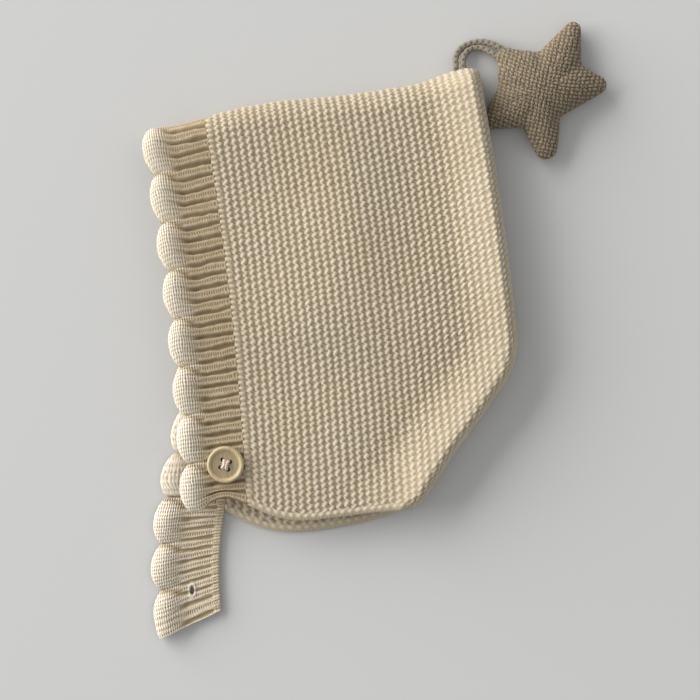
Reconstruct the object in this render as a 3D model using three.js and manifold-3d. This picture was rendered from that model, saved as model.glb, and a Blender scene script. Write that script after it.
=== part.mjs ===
// A knitted baby bonnet lying on its side on a table, in millimetres, +Z up.
// The hood is one panel of ridged knit folded over the crown and seamed down the back, so it is a
// thick-walled pocket that is open at the face (-X) and at the neck (-Y). A ribbed trim with a scalloped edge
// runs all round the face opening and goes on as the chin strap, and a stuffed star hangs on a cord from the
// hood's tip.
// Everything is laid out from the face corner, where the fold meets the face edge on the upper side.
import * as THREE from "three";
import { mergeVertices } from "three/addons/utils/BufferGeometryUtils.js";
import Module from "manifold-3d";

const wasm = await Module();
wasm.setup();

// Hood sizes
const FACE_LENGTH = 172; // face edge, from the fold to the neck
const HOOD_DEPTH = 127; // face edge to back seam
const NECK_WIDTH = 73; // open part of the lower edge
const HOOD_WALL = 3; // one layer of knit
const HOOD_LEAN = 18.9; // how far the face edge leans back at the neck
const HOOD_LOFT = 21.5; // fullest thickness of the lying hood
const EDGE_HEIGHT = 5.6; // height of the fold and of the back seam above the table
const FOLD_ROUND = 10; // width over which the upper layer rises from the fold
const SEAM_ROUND = 5; // the same from the back and slanted seams
const BACK_ROLL = 6.5; // how much higher the upper layer stands along the back and slanted seams
const BACK_ROLL_WIDTH = 27;
const HEM_FADE = 0.7; // share of the roll that is lost by the neck hem
const HEM_FADE_START = 0.85; // where along the hood that begins
const HEM_FADE_TURN = 8; // to either side of the neck's corner, where the loss ends
const DENT_DEPTH = 1.6; // deepest of the soft dents
const UNDER_ROUND = 5; // width over which the lower layer rounds up to the closed edge
const FAR_SWING = 11; // how far the lower layer's face corner lies ahead of the upper one's
const FAR_SWING_START = 124; // where along the face edge the lower layer begins to swing out
const FAR_HEM = 6; // how far the lower layer's hem shows below the upper one's

// Trim and strap sizes
const TRIM_WIDTH = 29.3; // seam to the crest of a scallop
const SCALLOP_DEPTH = 5; // crest to notch
const SCALLOP_RISE = 4.2; // how far a scallop puffs up
const FAR_RISE = 1.4; // the same where the other layer lies on it
const RIB_HEIGHT = 1.1;
const RIBS_PER_SCALLOP = 4;
const SCALLOPS_PER_SIDE = 8;
const STRAP_SCALLOPS = 3;
const STRAP_WIDTH = 31.3; // as the trim's, and the lower side of the trim widens to it
const STRAP_LENGTH = 51.5; // along its plain edge
const STRAP_BOW = 2; // bow of its plain edge
const STRAP_END_ANGLE = 24.5; // slant of its free end, in degrees
const ARCH_HEIGHT = 4; // the upper trim's free end is hollowed by this much
const BUTTONHOLE_LENGTH = 4;
const BUTTONHOLE_WIDTH = 1.8;
const BUTTONHOLE_IN = 15.5; // from the strap's plain edge
const BUTTONHOLE_DOWN = 42; // from the neck corner

// Button sizes
const BUTTON_DIAMETER = 16.5;
const BUTTON_THICKNESS = 3.2;
const BUTTON_RIM_WIDTH = 1.9;
const BUTTON_DISH_DEPTH = 1;
const BUTTON_HOLE = 1.9;
const BUTTON_HOLE_PITCH = 3.6; // side of the square of four holes
const BUTTON_IN = 8.3; // button's centre from the seam
const BUTTON_DOWN = 154; // button's centre below the face corner
const THREAD_THICKNESS = 1;

// Star and cord sizes
const STAR_RADIUS = 31;
const STAR_LOFT = 15; // full thickness at its middle
const STAR_SEAM_HEIGHT = 5.5;
const CORD_DIAMETER = 2.7;

const GAP = 0.3; // clearance between pieces that touch

// Mesh steps
const HOOD_ROWS = 20;
const NECK_COLUMNS = 8;
const BACK_COLUMNS = 9;
const STEPS_PER_RIB = 2;
const STAR_TIP_STEPS = 4;
const STAR_SIDE_STEPS = 2;
const STAR_RINGS = 6;

// The hood's two long edges. across is a share of NECK_WIDTH in the first table, and of the depth left behind
// the neck in the second. fold and foot are the heights of the fold above, and of the lower edge below, the
// face corner, and hem is how much of FAR_HEM shows, the first two as shares of FACE_LENGTH.
const NECK_SECTIONS = [
  { across: 0, fold: 0.008, foot: 1.0, hem: 0.6 },
  { across: 0.16, fold: 0.028, foot: 1.03, hem: 0.8 },
  { across: 0.33, fold: 0.042, foot: 1.042, hem: 0.95 },
  { across: 0.54, fold: 0.055, foot: 1.034, hem: 1.0 },
  { across: 0.8, fold: 0.064, foot: 1.02, hem: 0.7 },
  { across: 1, fold: 0.074, foot: 1.012, hem: 0 },
];
const BACK_SECTIONS = [
  { across: 0, fold: 0.074, foot: 1.012 },
  { across: 0.1, fold: 0.079, foot: 0.995 },
  { across: 0.22, fold: 0.084, foot: 0.945 },
  { across: 0.42, fold: 0.093, foot: 0.858 },
  { across: 0.63, fold: 0.113, foot: 0.777 },
  { across: 0.78, fold: 0.129, foot: 0.717 },
  { across: 0.93, fold: 0.137, foot: 0.65 },
  { across: 1, fold: 0.131, foot: 0.575 },
];

// Height of the upper layer away from its edges, as shares of HOOD_LOFT less BACK_ROLL, down the hood from
// the fold to the foot.
const LOFT_SECTIONS = [
  { along: 0, face: 0.8, middle: 0.92, back: 0.96 },
  { along: 0.2, face: 0.8, middle: 0.98, back: 1 },
  { along: 0.5, face: 0.8, middle: 1, back: 1 },
  { along: 0.8, face: 0.8, middle: 0.94, back: 0.97 },
  { along: 1, face: 0.8, middle: 0.84, back: 0.9 },
];

// Soft dents in the upper layer, and rises where the depth is negative. Place and size are shares of
// HOOD_DEPTH across and of FACE_LENGTH down, and the depth a share of DENT_DEPTH.
const DENTS = [
  { across: 0.28, down: 0.5, wide: 0.16, long: 0.1, depth: -0.8 },
  { across: 0.36, down: 0.66, wide: 0.2, long: 0.09, depth: 0.8 },
  { across: 0.26, down: 0.16, wide: 0.17, long: 0.1, depth: 0.8 },
  { across: 0.48, down: 0.24, wide: 0.12, long: 0.13, depth: -0.6 },
  { across: 0.68, down: 0.2, wide: 0.14, long: 0.12, depth: 1 },
  { across: 0.6, down: 0.78, wide: 0.15, long: 0.13, depth: 0.9 },
];

// Section through the trim from its seam to its scalloped edge: share of the width, share of the scallop's
// rise, share of the rib height, and thickness as a share of the hood's wall.
const TRIM_SECTIONS = [
  { across: 0, rise: 0, rib: 0.4, thick: 1 },
  { across: 0.08, rise: 0, rib: 1, thick: 1 },
  { across: 0.45, rise: 0, rib: 1, thick: 1 },
  { across: 0.56, rise: 0, rib: 0.7, thick: 1 },
  { across: 0.64, rise: 0.55, rib: 0.25, thick: 0.97 },
  { across: 0.74, rise: 0.92, rib: 0.05, thick: 0.93 },
  { across: 0.84, rise: 1, rib: 0, thick: 0.9 },
  { across: 0.95, rise: 0.68, rib: 0, thick: 0.8 },
  { across: 1, rise: 0.25, rib: 0, thick: 0.6 },
];

// The star's five arms: direction in degrees, reach and tip radius as shares of STAR_RADIUS, and then the
// notch before the next arm.
const STAR_ARMS = [
  { angle: 6, reach: 0.977, round: 0.14, notchAngle: 32, notchReach: 0.71 },
  { angle: 61.3, reach: 1.13, round: 0.116, notchAngle: 91.5, notchReach: 0.558 },
  { angle: 135, reach: 0.823, round: 0.16, notchAngle: 173, notchReach: 0.594 },
  { angle: 211, reach: 0.96, round: 0.13, notchAngle: 246.6, notchReach: 0.571 },
  { angle: 276.3, reach: 1, round: 0.168, notchAngle: 308.2, notchReach: 0.481 },
];

// The star's middle, measured from the hood's tip as shares of STAR_RADIUS.
const STAR_FROM_TIP = { x: 0.887, y: -0.284 };

// The cord's route, measured from the hood's tip: from the star to the fold, round inside the hood and back.
const CORD_FROM_TIP = [
  { x: 12.2, y: 8.4, z: 6.2 },
  { x: 9.4, y: 10.8, z: 5.6 },
  { x: 5.9, y: 12.7, z: 4.2 },
  { x: 1.8, y: 13.8, z: 2.6 },
  { x: -2.6, y: 13.4, z: 1.7 },
  { x: -6.4, y: 11.8, z: 1.6 },
  { x: -9.1, y: 9.0, z: 2.4 },
  { x: -10.2, y: 5.5, z: 4.2 },
  { x: -10.1, y: 1.6, z: 5.5 },
  { x: -11.1, y: -2.6, z: 5.9 },
  { x: -13.6, y: -7.2, z: 6.1 },
  { x: -15.0, y: -12.2, z: 6.2 },
  { x: -13.0, y: -16.6, z: 6.2 },
  { x: -8.8, y: -17.8, z: 6.2 },
  { x: -5.2, y: -15.2, z: 6.2 },
  { x: -4.2, y: -10.6, z: 6.2 },
  { x: -4.8, y: -6.0, z: 6.1 },
  { x: -5.5, y: -2.2, z: 5.9 },
  { x: -5.7, y: 1.8, z: 5.5 },
  { x: -5.5, y: 5.4, z: 4.2 },
  { x: -4.1, y: 8.7, z: 2.7 },
  { x: -1.2, y: 10.6, z: 1.9 },
  { x: 2.2, y: 10.4, z: 2.7 },
  { x: 5.2, y: 9.2, z: 4.0 },
  { x: 7.9, y: 7.4, z: 5.2 },
  { x: 10.4, y: 5.4, z: 5.9 },
];
const CORD_SIDES = 8;
const CORD_STEPS = 44;

const degrees = (angle) => (angle * Math.PI) / 180;
const clamp01 = (x) => Math.min(1, Math.max(0, x));
const mix = (a, b, share) => a + (b - a) * share;
const smooth = (x) => clamp01(x) ** 2 * (3 - 2 * clamp01(x));

// Rise of a quarter round: 0 at its edge, 1 from its full width on.
const quarterRound = (x) => Math.sqrt(1 - (1 - clamp01(x)) ** 2);

// A column of a table at a place along its first column, on a smooth curve through the rows.
function lookup(table, key, column, place) {
  const last = table.length - 1;
  let row = 0;
  while (row < last - 1 && place > table[row + 1][key]) row += 1;
  const slope = (i) => {
    const before = table[Math.max(0, i - 1)];
    const after = table[Math.min(last, i + 1)];
    return (after[column] - before[column]) / (after[key] - before[key]);
  };
  const a = table[row];
  const b = table[row + 1];
  const span = b[key] - a[key];
  const t = clamp01((place - a[key]) / span);
  const ease = smooth(t);
  const bend = span * t * (1 - t) * ((1 - t) * slope(row) - t * slope(row + 1));
  return mix(a[column], b[column], ease) + bend;
}

// Triangles of one closed body, gathered face by face.
class Body {
  constructor() {
    this.corners = [];
  }

  triangle(a, b, c) {
    this.corners.push(...a, ...b, ...c);
  }

  // A grid of points. up says which side faces out, and turnRow is the row from which the diagonals turn, so
  // that no triangle lies wholly in a closed edge.
  grid(rows, up, turnRow = 0) {
    for (let i = 0; i + 1 < rows.length; i += 1) {
      for (let j = 0; j + 1 < rows[i].length; j += 1) {
        const quad = [rows[i][j], rows[i + 1][j], rows[i + 1][j + 1], rows[i][j + 1]];
        if (!up) quad.reverse();
        const start = i < turnRow === up ? 1 : 0;
        const [a, b, c, d] = [0, 1, 2, 3].map((k) => quad[(k + start) % 4]);
        this.triangle(a, b, c);
        this.triangle(a, c, d);
      }
    }
  }

  geometry() {
    const loose = new THREE.BufferGeometry();
    loose.setAttribute("position", new THREE.Float32BufferAttribute(this.corners, 3));
    return mergeVertices(loose, 1e-4);
  }
}

function solidOf(geometry) {
  const bare = geometry.clone();
  bare.deleteAttribute("normal");
  bare.deleteAttribute("uv");
  const merged = mergeVertices(bare, 1e-4);
  return new wasm.Manifold(
    new wasm.Mesh({
      numProp: 3,
      vertProperties: new Float32Array(merged.attributes.position.array),
      triVerts: new Uint32Array(merged.index.array),
    }),
  );
}

function geometryOf(solid) {
  const made = solid.getMesh();
  const geometry = new THREE.BufferGeometry();
  geometry.setAttribute("position", new THREE.BufferAttribute(new Float32Array(made.vertProperties), 3));
  geometry.setIndex(new THREE.BufferAttribute(new Uint32Array(made.triVerts), 1));
  return geometry;
}

function meshOf(name, geometry, material) {
  geometry.computeVertexNormals();
  const mesh = new THREE.Mesh(geometry, material);
  mesh.name = name;
  return mesh;
}

// Edges of the hood, by distance from the face edge.
function edgeOf(across, column) {
  const back = across > NECK_WIDTH;
  const share = back ? (across - NECK_WIDTH) / (HOOD_DEPTH - NECK_WIDTH) : across / NECK_WIDTH;
  if (back && column === "hem") return 0;
  return lookup(back ? BACK_SECTIONS : NECK_SECTIONS, "across", column, share);
}
const foldHeight = (across) => FACE_LENGTH * edgeOf(across, "fold");
const footDrop = (across) => FACE_LENGTH * edgeOf(across, "foot");

// The ridges of the knit run beside the face edge, which leans back on a gentle curve.
function lean(drop) {
  const share = drop / FACE_LENGTH;
  return HOOD_LEAN * (1.55 * share - 0.55 * share ** 2);
}

// The lower layer's face corner lies further forward than the upper one's.
function swing(drop) {
  return FAR_SWING * smooth((drop - FAR_SWING_START) / (1.25 * (FACE_LENGTH - FAR_SWING_START)));
}
const planPoint = (across, drop) => [across + lean(drop), -drop];

const TIP_ACROSS = HOOD_DEPTH;
const TIP = planPoint(TIP_ACROSS, -foldHeight(TIP_ACROSS));

// The closed edges of the hood in plan: the fold, and the back seam with the slanted seam down to the neck.
const EDGE_STEPS = 24;
function edgeLine(from, to, dropAt) {
  const points = [];
  for (let i = 0; i <= EDGE_STEPS; i += 1) {
    const across = mix(from, to, i / EDGE_STEPS);
    points.push(planPoint(across, dropAt(across, i / EDGE_STEPS)));
  }
  return points;
}
const FOLD_LINE = edgeLine(0, HOOD_DEPTH, (across) => -foldHeight(across));
const BACK_SEAM = edgeLine(HOOD_DEPTH, HOOD_DEPTH, (across, share) =>
  mix(-foldHeight(across), footDrop(across), share),
);
const SLANTED_SEAM = edgeLine(HOOD_DEPTH, NECK_WIDTH, (across) => footDrop(across));

function distanceToLine([x, y], line) {
  let nearest = Infinity;
  for (let i = 0; i + 1 < line.length; i += 1) {
    const [ax, ay] = line[i];
    const [bx, by] = line[i + 1];
    const length2 = (bx - ax) ** 2 + (by - ay) ** 2;
    const t = clamp01(((x - ax) * (bx - ax) + (y - ay) * (by - ay)) / length2);
    nearest = Math.min(nearest, Math.hypot(x - mix(ax, bx, t), y - mix(ay, by, t)));
  }
  return nearest;
}

function distanceToSeams(plan) {
  return Math.min(distanceToLine(plan, BACK_SEAM), distanceToLine(plan, SLANTED_SEAM));
}
const distanceToFold = (plan) => distanceToLine(plan, FOLD_LINE);

function dentAt(across, drop) {
  let depth = 0;
  for (const dent of DENTS) {
    const x = (across / HOOD_DEPTH - dent.across) / dent.wide;
    const y = (drop / FACE_LENGTH - dent.down) / dent.long;
    depth += DENT_DEPTH * dent.depth * smooth(1 - Math.hypot(x, y) / 2);
  }
  return depth;
}

// Height of the upper layer's outer side, away from the closed edge.
function loft(across, along, plan) {
  const at = (column) => (HOOD_LOFT - BACK_ROLL) * lookup(LOFT_SECTIONS, "along", column, along);
  const share = across / HOOD_DEPTH;
  const panel =
    share < 0.5
      ? mix(at("face"), at("middle"), smooth(share / 0.5))
      : mix(at("middle"), at("back"), smooth((share - 0.5) / 0.5));
  const roll = smooth(1 - distanceToSeams(plan) / BACK_ROLL_WIDTH);
  const atNeck = smooth((NECK_WIDTH + HEM_FADE_TURN - across) / (2 * HEM_FADE_TURN));
  const loss = HEM_FADE * atNeck * smooth((along - HEM_FADE_START) / (1 - HEM_FADE_START));
  return panel + BACK_ROLL * roll * (1 - loss) - dentAt(across, -plan[1]);
}

// One point of a layer of the hood. across is the distance from the face edge, and row runs from 0 at the
// fold to 1 at the foot. closed is true on the closed edge, where both layers meet.
function hoodPoint({ across, row, far, inner, closed }) {
  const inset = inner ? HOOD_WALL : 0;
  const width = (HOOD_DEPTH - inset) / HOOD_DEPTH;
  const at = across * width;
  const behindNeck = across >= NECK_WIDTH;
  const hem = far ? FAR_HEM * edgeOf(across, "hem") : 0;
  const frontShare = clamp01(1 - across / NECK_WIDTH);
  const top = -foldHeight(at) + inset;
  const foot = footDrop(at) - (behindNeck ? inset : 0);
  const drop = mix(top, foot, row) + hem * smooth((row - 0.5) / 0.5);
  const plan = planPoint(at, drop);
  if (far) plan[0] -= swing(drop) * frontShare;
  const fromFold = closed ? 0 : Math.max(0, distanceToFold(plan) - inset);
  const fromSeams = closed ? 0 : Math.max(0, distanceToSeams(plan) - inset);
  const rise = quarterRound(fromFold / FOLD_ROUND) * quarterRound(fromSeams / SEAM_ROUND);
  const z = far
    ? EDGE_HEIGHT - (EDGE_HEIGHT - inset) * quarterRound(Math.min(fromFold, fromSeams) / UNDER_ROUND)
    : EDGE_HEIGHT + (loft(across, row, plan) - inset - EDGE_HEIGHT) * rise;
  return [...plan, z];
}

// Places of the columns, closer together towards the back seam.
function hoodColumns() {
  const columns = [];
  for (let j = 0; j < NECK_COLUMNS; j += 1) columns.push((NECK_WIDTH * j) / NECK_COLUMNS);
  for (let j = 0; j <= BACK_COLUMNS; j += 1) {
    columns.push(mix(NECK_WIDTH, HOOD_DEPTH, Math.sin(degrees(90) * (j / BACK_COLUMNS))));
  }
  return columns;
}

// Rows, closer together at the fold and at the foot.
const hoodRow = (i) => 0.5 - 0.5 * Math.cos(degrees(180) * (i / HOOD_ROWS));

function hoodLayer(far, inner) {
  const columns = hoodColumns();
  const rows = [];
  for (let i = 0; i <= HOOD_ROWS; i += 1) {
    rows.push(
      columns.map((across, j) => {
        const atBack = j === columns.length - 1;
        const atSeam = i === HOOD_ROWS && j >= NECK_COLUMNS;
        const closed = i === 0 || atBack || atSeam;
        return hoodPoint({ across, row: hoodRow(i), far, inner, closed });
      }),
    );
  }
  return rows;
}

function hoodSolid() {
  const body = new Body();
  const turn = HOOD_ROWS / 2;
  const layers = {};
  for (const far of [false, true]) {
    const outer = hoodLayer(far, false);
    const inner = hoodLayer(far, true);
    body.grid(outer, !far, turn);
    body.grid(inner, far, turn);
    // The rim round the face opening and along the neck.
    body.grid([outer.map((row) => row[0]), inner.map((row) => row[0])], !far);
    const hem = (layer) => layer[HOOD_ROWS].slice(0, NECK_COLUMNS + 1);
    body.grid([hem(outer), hem(inner)], !far);
    layers[far ? "far" : "near"] = { outer, inner };
  }
  return body.geometry();
}

// The face edge of the hood from the upper foot over the fold to the lower foot, as pairs of outer and inner
// points with the length run so far, counted from the fold.
const LINE_STEPS = 160;
function faceLine(far) {
  const line = [];
  let run = 0;
  for (let i = 0; i <= LINE_STEPS; i += 1) {
    const place = { across: 0, row: hoodRow((i * HOOD_ROWS) / LINE_STEPS), far, closed: i === 0 };
    const outer = new THREE.Vector3(...hoodPoint({ ...place, inner: false }));
    const inner = new THREE.Vector3(...hoodPoint({ ...place, inner: true }));
    const middle = outer.clone().add(inner).multiplyScalar(0.5);
    if (line.length) run += middle.distanceTo(line[line.length - 1].middle);
    line.push({ outer, inner, middle, run });
  }
  return line;
}

function pointOnLine(line, run) {
  let i = 0;
  while (i < line.length - 2 && run > line[i + 1].run) i += 1;
  const share = (run - line[i].run) / (line[i + 1].run - line[i].run);
  return {
    outer: line[i].outer.clone().lerp(line[i + 1].outer, share),
    inner: line[i].inner.clone().lerp(line[i + 1].inner, share),
  };
}

// How full a scallop is along its length: 0 at a notch, 1 at its crest.
const fullness = (turn) => Math.abs(Math.sin(Math.PI * turn)) ** 0.6;
const ribWave = (turn) => -Math.cos(2 * Math.PI * RIBS_PER_SCALLOP * turn);

// One station of the trim: the outer and inner points from the seam to the scalloped edge. turn counts
// scallops, rise is the puff of the scallops, and slant the direction of the ribs below the horizontal.
function trimStation({ outer, inner, turn, rise, slant, width: fullWidth, shift = () => 0 }) {
  const out = outer.clone().sub(inner);
  const thickness = out.length();
  out.normalize();
  const full = fullness(turn);
  const reach = new THREE.Vector3(-Math.cos(slant), -Math.sin(slant), 0);
  const wave = ribWave(turn);
  const rows = { outer: [], inner: [] };
  for (const section of TRIM_SECTIONS) {
    const width = (fullWidth - SCALLOP_DEPTH * (1 - full) * section.across ** 2) * section.across;
    const puff = rise * section.rise * mix(0.35, 1, full);
    const thin = (thickness * (1 - section.thick)) / 2;
    const rib = RIB_HEIGHT * section.rib;
    const place = (from, offset) => {
      const point = from.clone().addScaledVector(out, offset);
      point.addScaledVector(reach, width);
      point.x -= GAP;
      point.y += shift(section.across);
      return [point.x, point.y, point.z];
    };
    rows.outer.push(place(outer, puff - thin - (rib * (1 - wave)) / 2));
    rows.inner.push(place(inner, puff + thin + (rib * (1 + wave)) / 2));
  }
  return rows;
}

// A closed strip through stations.
function trimBody(stations) {
  const body = new Body();
  const outer = stations.map((s) => s.outer);
  const inner = stations.map((s) => s.inner);
  const last = TRIM_SECTIONS.length - 1;
  const edge = (layer, column) => layer.map((row) => row[column]);
  body.grid(outer, true);
  body.grid(inner, false);
  body.grid([edge(outer, 0), edge(inner, 0)], true);
  body.grid([edge(outer, last), edge(inner, last)], false);
  body.grid([outer[0], inner[0]], false);
  body.grid([outer[outer.length - 1], inner[inner.length - 1]], true);
  return body.geometry();
}

const STEPS_PER_SCALLOP = STEPS_PER_RIB * RIBS_PER_SCALLOP;
const FOLD_SLANT = degrees(14.5);
const UPPER_FOOT_SLANT = degrees(8);
const UNDER_TUCK = 0.8; // how much less far the lower side of the trim reaches
const FAR_TRIM_END = 0.965; // the strap takes over just above the hem, as a share of the lower face edge
const STRAP_DRIFT = 2.6; // how far the strap's end lies ahead of its start
const STRAP_CORNER = 0.06; // the last scallop stops short of its notch by this share

function faceTrim() {
  const stations = [];
  const near = faceLine(false);
  const far = faceLine(true);
  const nearLength = near[LINE_STEPS].run;
  const farLength = far[LINE_STEPS].run * FAR_TRIM_END - GAP;
  const count = SCALLOPS_PER_SIDE * STEPS_PER_SCALLOP;
  for (let i = count; i > 0; i -= 1) {
    const share = i / count;
    const arch = ARCH_HEIGHT * smooth((share - 0.94) / 0.06);
    stations.push(
      trimStation({
        ...pointOnLine(near, nearLength * share),
        turn: SCALLOPS_PER_SIDE * share,
        rise: SCALLOP_RISE,
        slant: mix(FOLD_SLANT, UPPER_FOOT_SLANT, share),
        width: TRIM_WIDTH,
        shift: (across) => arch * Math.sin(Math.PI * clamp01(across / 0.75)),
      }),
    );
  }
  for (let i = 0; i <= count; i += 1) {
    const share = i / count;
    stations.push(
      trimStation({
        ...pointOnLine(far, farLength * share),
        turn: SCALLOPS_PER_SIDE * share,
        rise: -FAR_RISE * smooth(share * SCALLOPS_PER_SIDE),
        slant: mix(FOLD_SLANT, 0, share),
        width: mix(TRIM_WIDTH - UNDER_TUCK, STRAP_WIDTH, smooth((share - 0.65) / 0.25)),
      }),
    );
  }
  return trimBody(stations);
}

// The strap's plain edge runs on from the lower layer's face edge, with a slight bow.
function chinStrap() {
  const far = faceLine(true);
  const start = pointOnLine(far, far[LINE_STEPS].run * FAR_TRIM_END);
  const stations = [];
  const count = STRAP_SCALLOPS * STEPS_PER_SCALLOP;
  for (let i = 0; i <= count; i += 1) {
    const share = i / count;
    const sideways = STRAP_DRIFT * share + STRAP_BOW * Math.sin(Math.PI * share);
    const step = new THREE.Vector3(-sideways, -STRAP_LENGTH * share, 0);
    stations.push(
      trimStation({
        outer: start.outer.clone().add(step),
        inner: start.inner.clone().add(step),
        turn: STRAP_SCALLOPS * share * (1 - STRAP_CORNER * smooth((share - 0.8) / 0.2)),
        rise: -mix(FAR_RISE, SCALLOP_RISE, smooth(share * STRAP_SCALLOPS * 2)),
        slant: degrees(STRAP_END_ANGLE) * share,
        width: STRAP_WIDTH,
      }),
    );
  }
  const strap = solidOf(trimBody(stations));
  const hole = new THREE.BoxGeometry(BUTTONHOLE_WIDTH, BUTTONHOLE_LENGTH, 8 * HOOD_WALL);
  hole.translate(start.outer.x - BUTTONHOLE_IN, start.outer.y - BUTTONHOLE_DOWN, 0);
  return geometryOf(strap.subtract(solidOf(hole)));
}

// The button's place, on the ribs of the upper trim.
const BUTTON_X = lean(BUTTON_DOWN) - BUTTON_IN;
const BUTTON_Y = -BUTTON_DOWN;
const BUTTON_BASE = loft(0, BUTTON_DOWN / FACE_LENGTH, planPoint(0, BUTTON_DOWN)) + GAP;
const BUTTON_TURN = degrees(-15);
const BUTTON_HOLES = [0, 1, 2, 3].map((i) => {
  const angle = BUTTON_TURN + degrees(45 + 90 * i);
  const radius = BUTTON_HOLE_PITCH / Math.SQRT2;
  return { x: radius * Math.cos(angle), y: radius * Math.sin(angle) };
});

function buttonGeometry() {
  const radius = BUTTON_DIAMETER / 2;
  const dish = radius - BUTTON_RIM_WIDTH;
  const edge = 0.6;
  const profile = [
    [0, 0],
    [radius - 2 * edge, 0],
    [radius - edge / 2, edge],
    [radius, BUTTON_THICKNESS * 0.6],
    [radius - edge / 2, BUTTON_THICKNESS * 0.93],
    [radius - BUTTON_RIM_WIDTH / 2, BUTTON_THICKNESS],
    [dish, BUTTON_THICKNESS - BUTTON_DISH_DEPTH * 0.6],
    [dish - 2 * edge, BUTTON_THICKNESS - BUTTON_DISH_DEPTH],
    [0, BUTTON_THICKNESS - BUTTON_DISH_DEPTH],
  ].map(([r, h]) => new THREE.Vector2(r, h));
  const disc = new THREE.LatheGeometry(profile, 32).rotateX(Math.PI / 2);
  let solid = solidOf(disc);
  for (const hole of BUTTON_HOLES) {
    const bore = new THREE.CylinderGeometry(BUTTON_HOLE / 2, BUTTON_HOLE / 2, 4 * BUTTON_THICKNESS, 12);
    bore.rotateX(Math.PI / 2).translate(hole.x, hole.y, 0);
    solid = solid.subtract(solidOf(bore));
  }
  return geometryOf(solid);
}

// Two parallel stitches over the dish, with a leg down each hole.
function threadGeometry() {
  const top = BUTTON_THICKNESS - BUTTON_DISH_DEPTH + GAP;
  const half = BUTTON_HOLE_PITCH / 2;
  let solid = null;
  const join = (width, length, height, x, y, z) => {
    const block = solidOf(new THREE.BoxGeometry(width, length, height).translate(x, y, z));
    solid = solid ? solid.add(block) : block;
  };
  for (const x of [-half, half]) {
    join(THREAD_THICKNESS, 2 * half + THREAD_THICKNESS, THREAD_THICKNESS, x, 0, top + THREAD_THICKNESS / 2);
    for (const y of [-half, half]) join(THREAD_THICKNESS, THREAD_THICKNESS, top + GAP, x, y, (top + GAP) / 2);
  }
  join(BUTTON_HOLE_PITCH, THREAD_THICKNESS, THREAD_THICKNESS / 2, 0, 0, top + (THREAD_THICKNESS * 3) / 4);
  return geometryOf(solid).rotateZ(BUTTON_TURN);
}

function polar(reach, angle) {
  return new THREE.Vector2(reach * Math.cos(degrees(angle)), reach * Math.sin(degrees(angle)));
}

// The star's outline about its middle: straight sides from the notches to round tips.
function starOutline() {
  const points = [];
  STAR_ARMS.forEach((arm, i) => {
    const before = STAR_ARMS[(i + STAR_ARMS.length - 1) % STAR_ARMS.length];
    const radius = STAR_RADIUS * arm.round;
    const middle = polar(STAR_RADIUS * arm.reach - radius, arm.angle);
    const onTip = (angle) => middle.clone().add(polar(radius, arm.angle + angle));
    const [from, to] = [before, arm].map((a) => polar(STAR_RADIUS * a.notchReach, a.notchAngle));
    const side = STAR_SIDE_STEPS;
    for (let k = 0; k < side; k += 1) points.push(from.clone().lerp(onTip(-80), k / side));
    for (let k = 0; k <= STAR_TIP_STEPS; k += 1) points.push(onTip(mix(-80, 80, k / STAR_TIP_STEPS)));
    for (let k = 1; k < side; k += 1) points.push(onTip(80).lerp(to, k / side));
  });
  return points;
}

// The star lies against the hood's back edge, which flattens the arm that touches it.
const hoodBackAt = (y) => HOOD_DEPTH + lean(-y);

function starGeometry() {
  const body = new Body();
  const outline = starOutline();
  const middle = {
    x: TIP[0] + STAR_RADIUS * STAR_FROM_TIP.x,
    y: TIP[1] + STAR_RADIUS * STAR_FROM_TIP.y,
  };
  const top = STAR_LOFT - STAR_SEAM_HEIGHT;
  const ring = (k, side) => {
    const share = Math.sin(degrees(90) * (k / STAR_RINGS));
    const points = outline.map((edge) => {
      const arm = clamp01(edge.length() / STAR_RADIUS - 0.5) * 2;
      const height = k === STAR_RINGS ? 0 : top * Math.sqrt(1 - share ** mix(2.2, 1.7, clamp01(arm)));
      const z = side > 0 ? STAR_SEAM_HEIGHT + height : Math.max(0, STAR_SEAM_HEIGHT - 1.6 * height);
      const y = middle.y + edge.y * share;
      return [Math.max(middle.x + edge.x * share, hoodBackAt(y) + 2 * GAP), y, z];
    });
    points.push(points[0]);
    return points;
  };
  for (const side of [1, -1]) {
    const rings = [];
    for (let k = 1; k <= STAR_RINGS; k += 1) rings.push(ring(k, side));
    body.grid(rings, side > 0);
    const centre = [middle.x, middle.y, side > 0 ? STAR_LOFT : 0];
    for (let i = 0; i < outline.length; i += 1) {
      const pair = [rings[0][i], rings[0][i + 1]];
      if (side < 0) pair.reverse();
      body.triangle(centre, pair[0], pair[1]);
    }
  }
  return body.geometry();
}

function cordGeometry(diameter) {
  const points = CORD_FROM_TIP.map(({ x, y, z }) => new THREE.Vector3(TIP[0] + x, TIP[1] + y, z));
  const route = new THREE.CatmullRomCurve3(points);
  const section = new THREE.Shape();
  for (let i = 0; i < CORD_SIDES; i += 1) {
    const angle = degrees((360 * i) / CORD_SIDES);
    const corner = [(diameter / 2) * Math.cos(angle), (diameter / 2) * Math.sin(angle)];
    if (i === 0) section.moveTo(...corner);
    else section.lineTo(...corner);
  }
  section.closePath();
  return new THREE.ExtrudeGeometry(section, { steps: CORD_STEPS, extrudePath: route });
}

const ECRU_KNIT = new THREE.MeshStandardMaterial({ color: 0xd8c7a6, roughness: 0.95, metalness: 0 });
const ECRU_TRIM = new THREE.MeshStandardMaterial({ color: 0xcfc0a2, roughness: 0.95, metalness: 0 });
const BUTTON_RESIN = new THREE.MeshStandardMaterial({ color: 0xcdb685, roughness: 0.4, metalness: 0 });
const THREAD_COTTON = new THREE.MeshStandardMaterial({ color: 0xe6d6ca, roughness: 0.9, metalness: 0 });
const TAUPE_WEAVE = new THREE.MeshStandardMaterial({ color: 0x8f7c69, roughness: 0.95, metalness: 0 });

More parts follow.
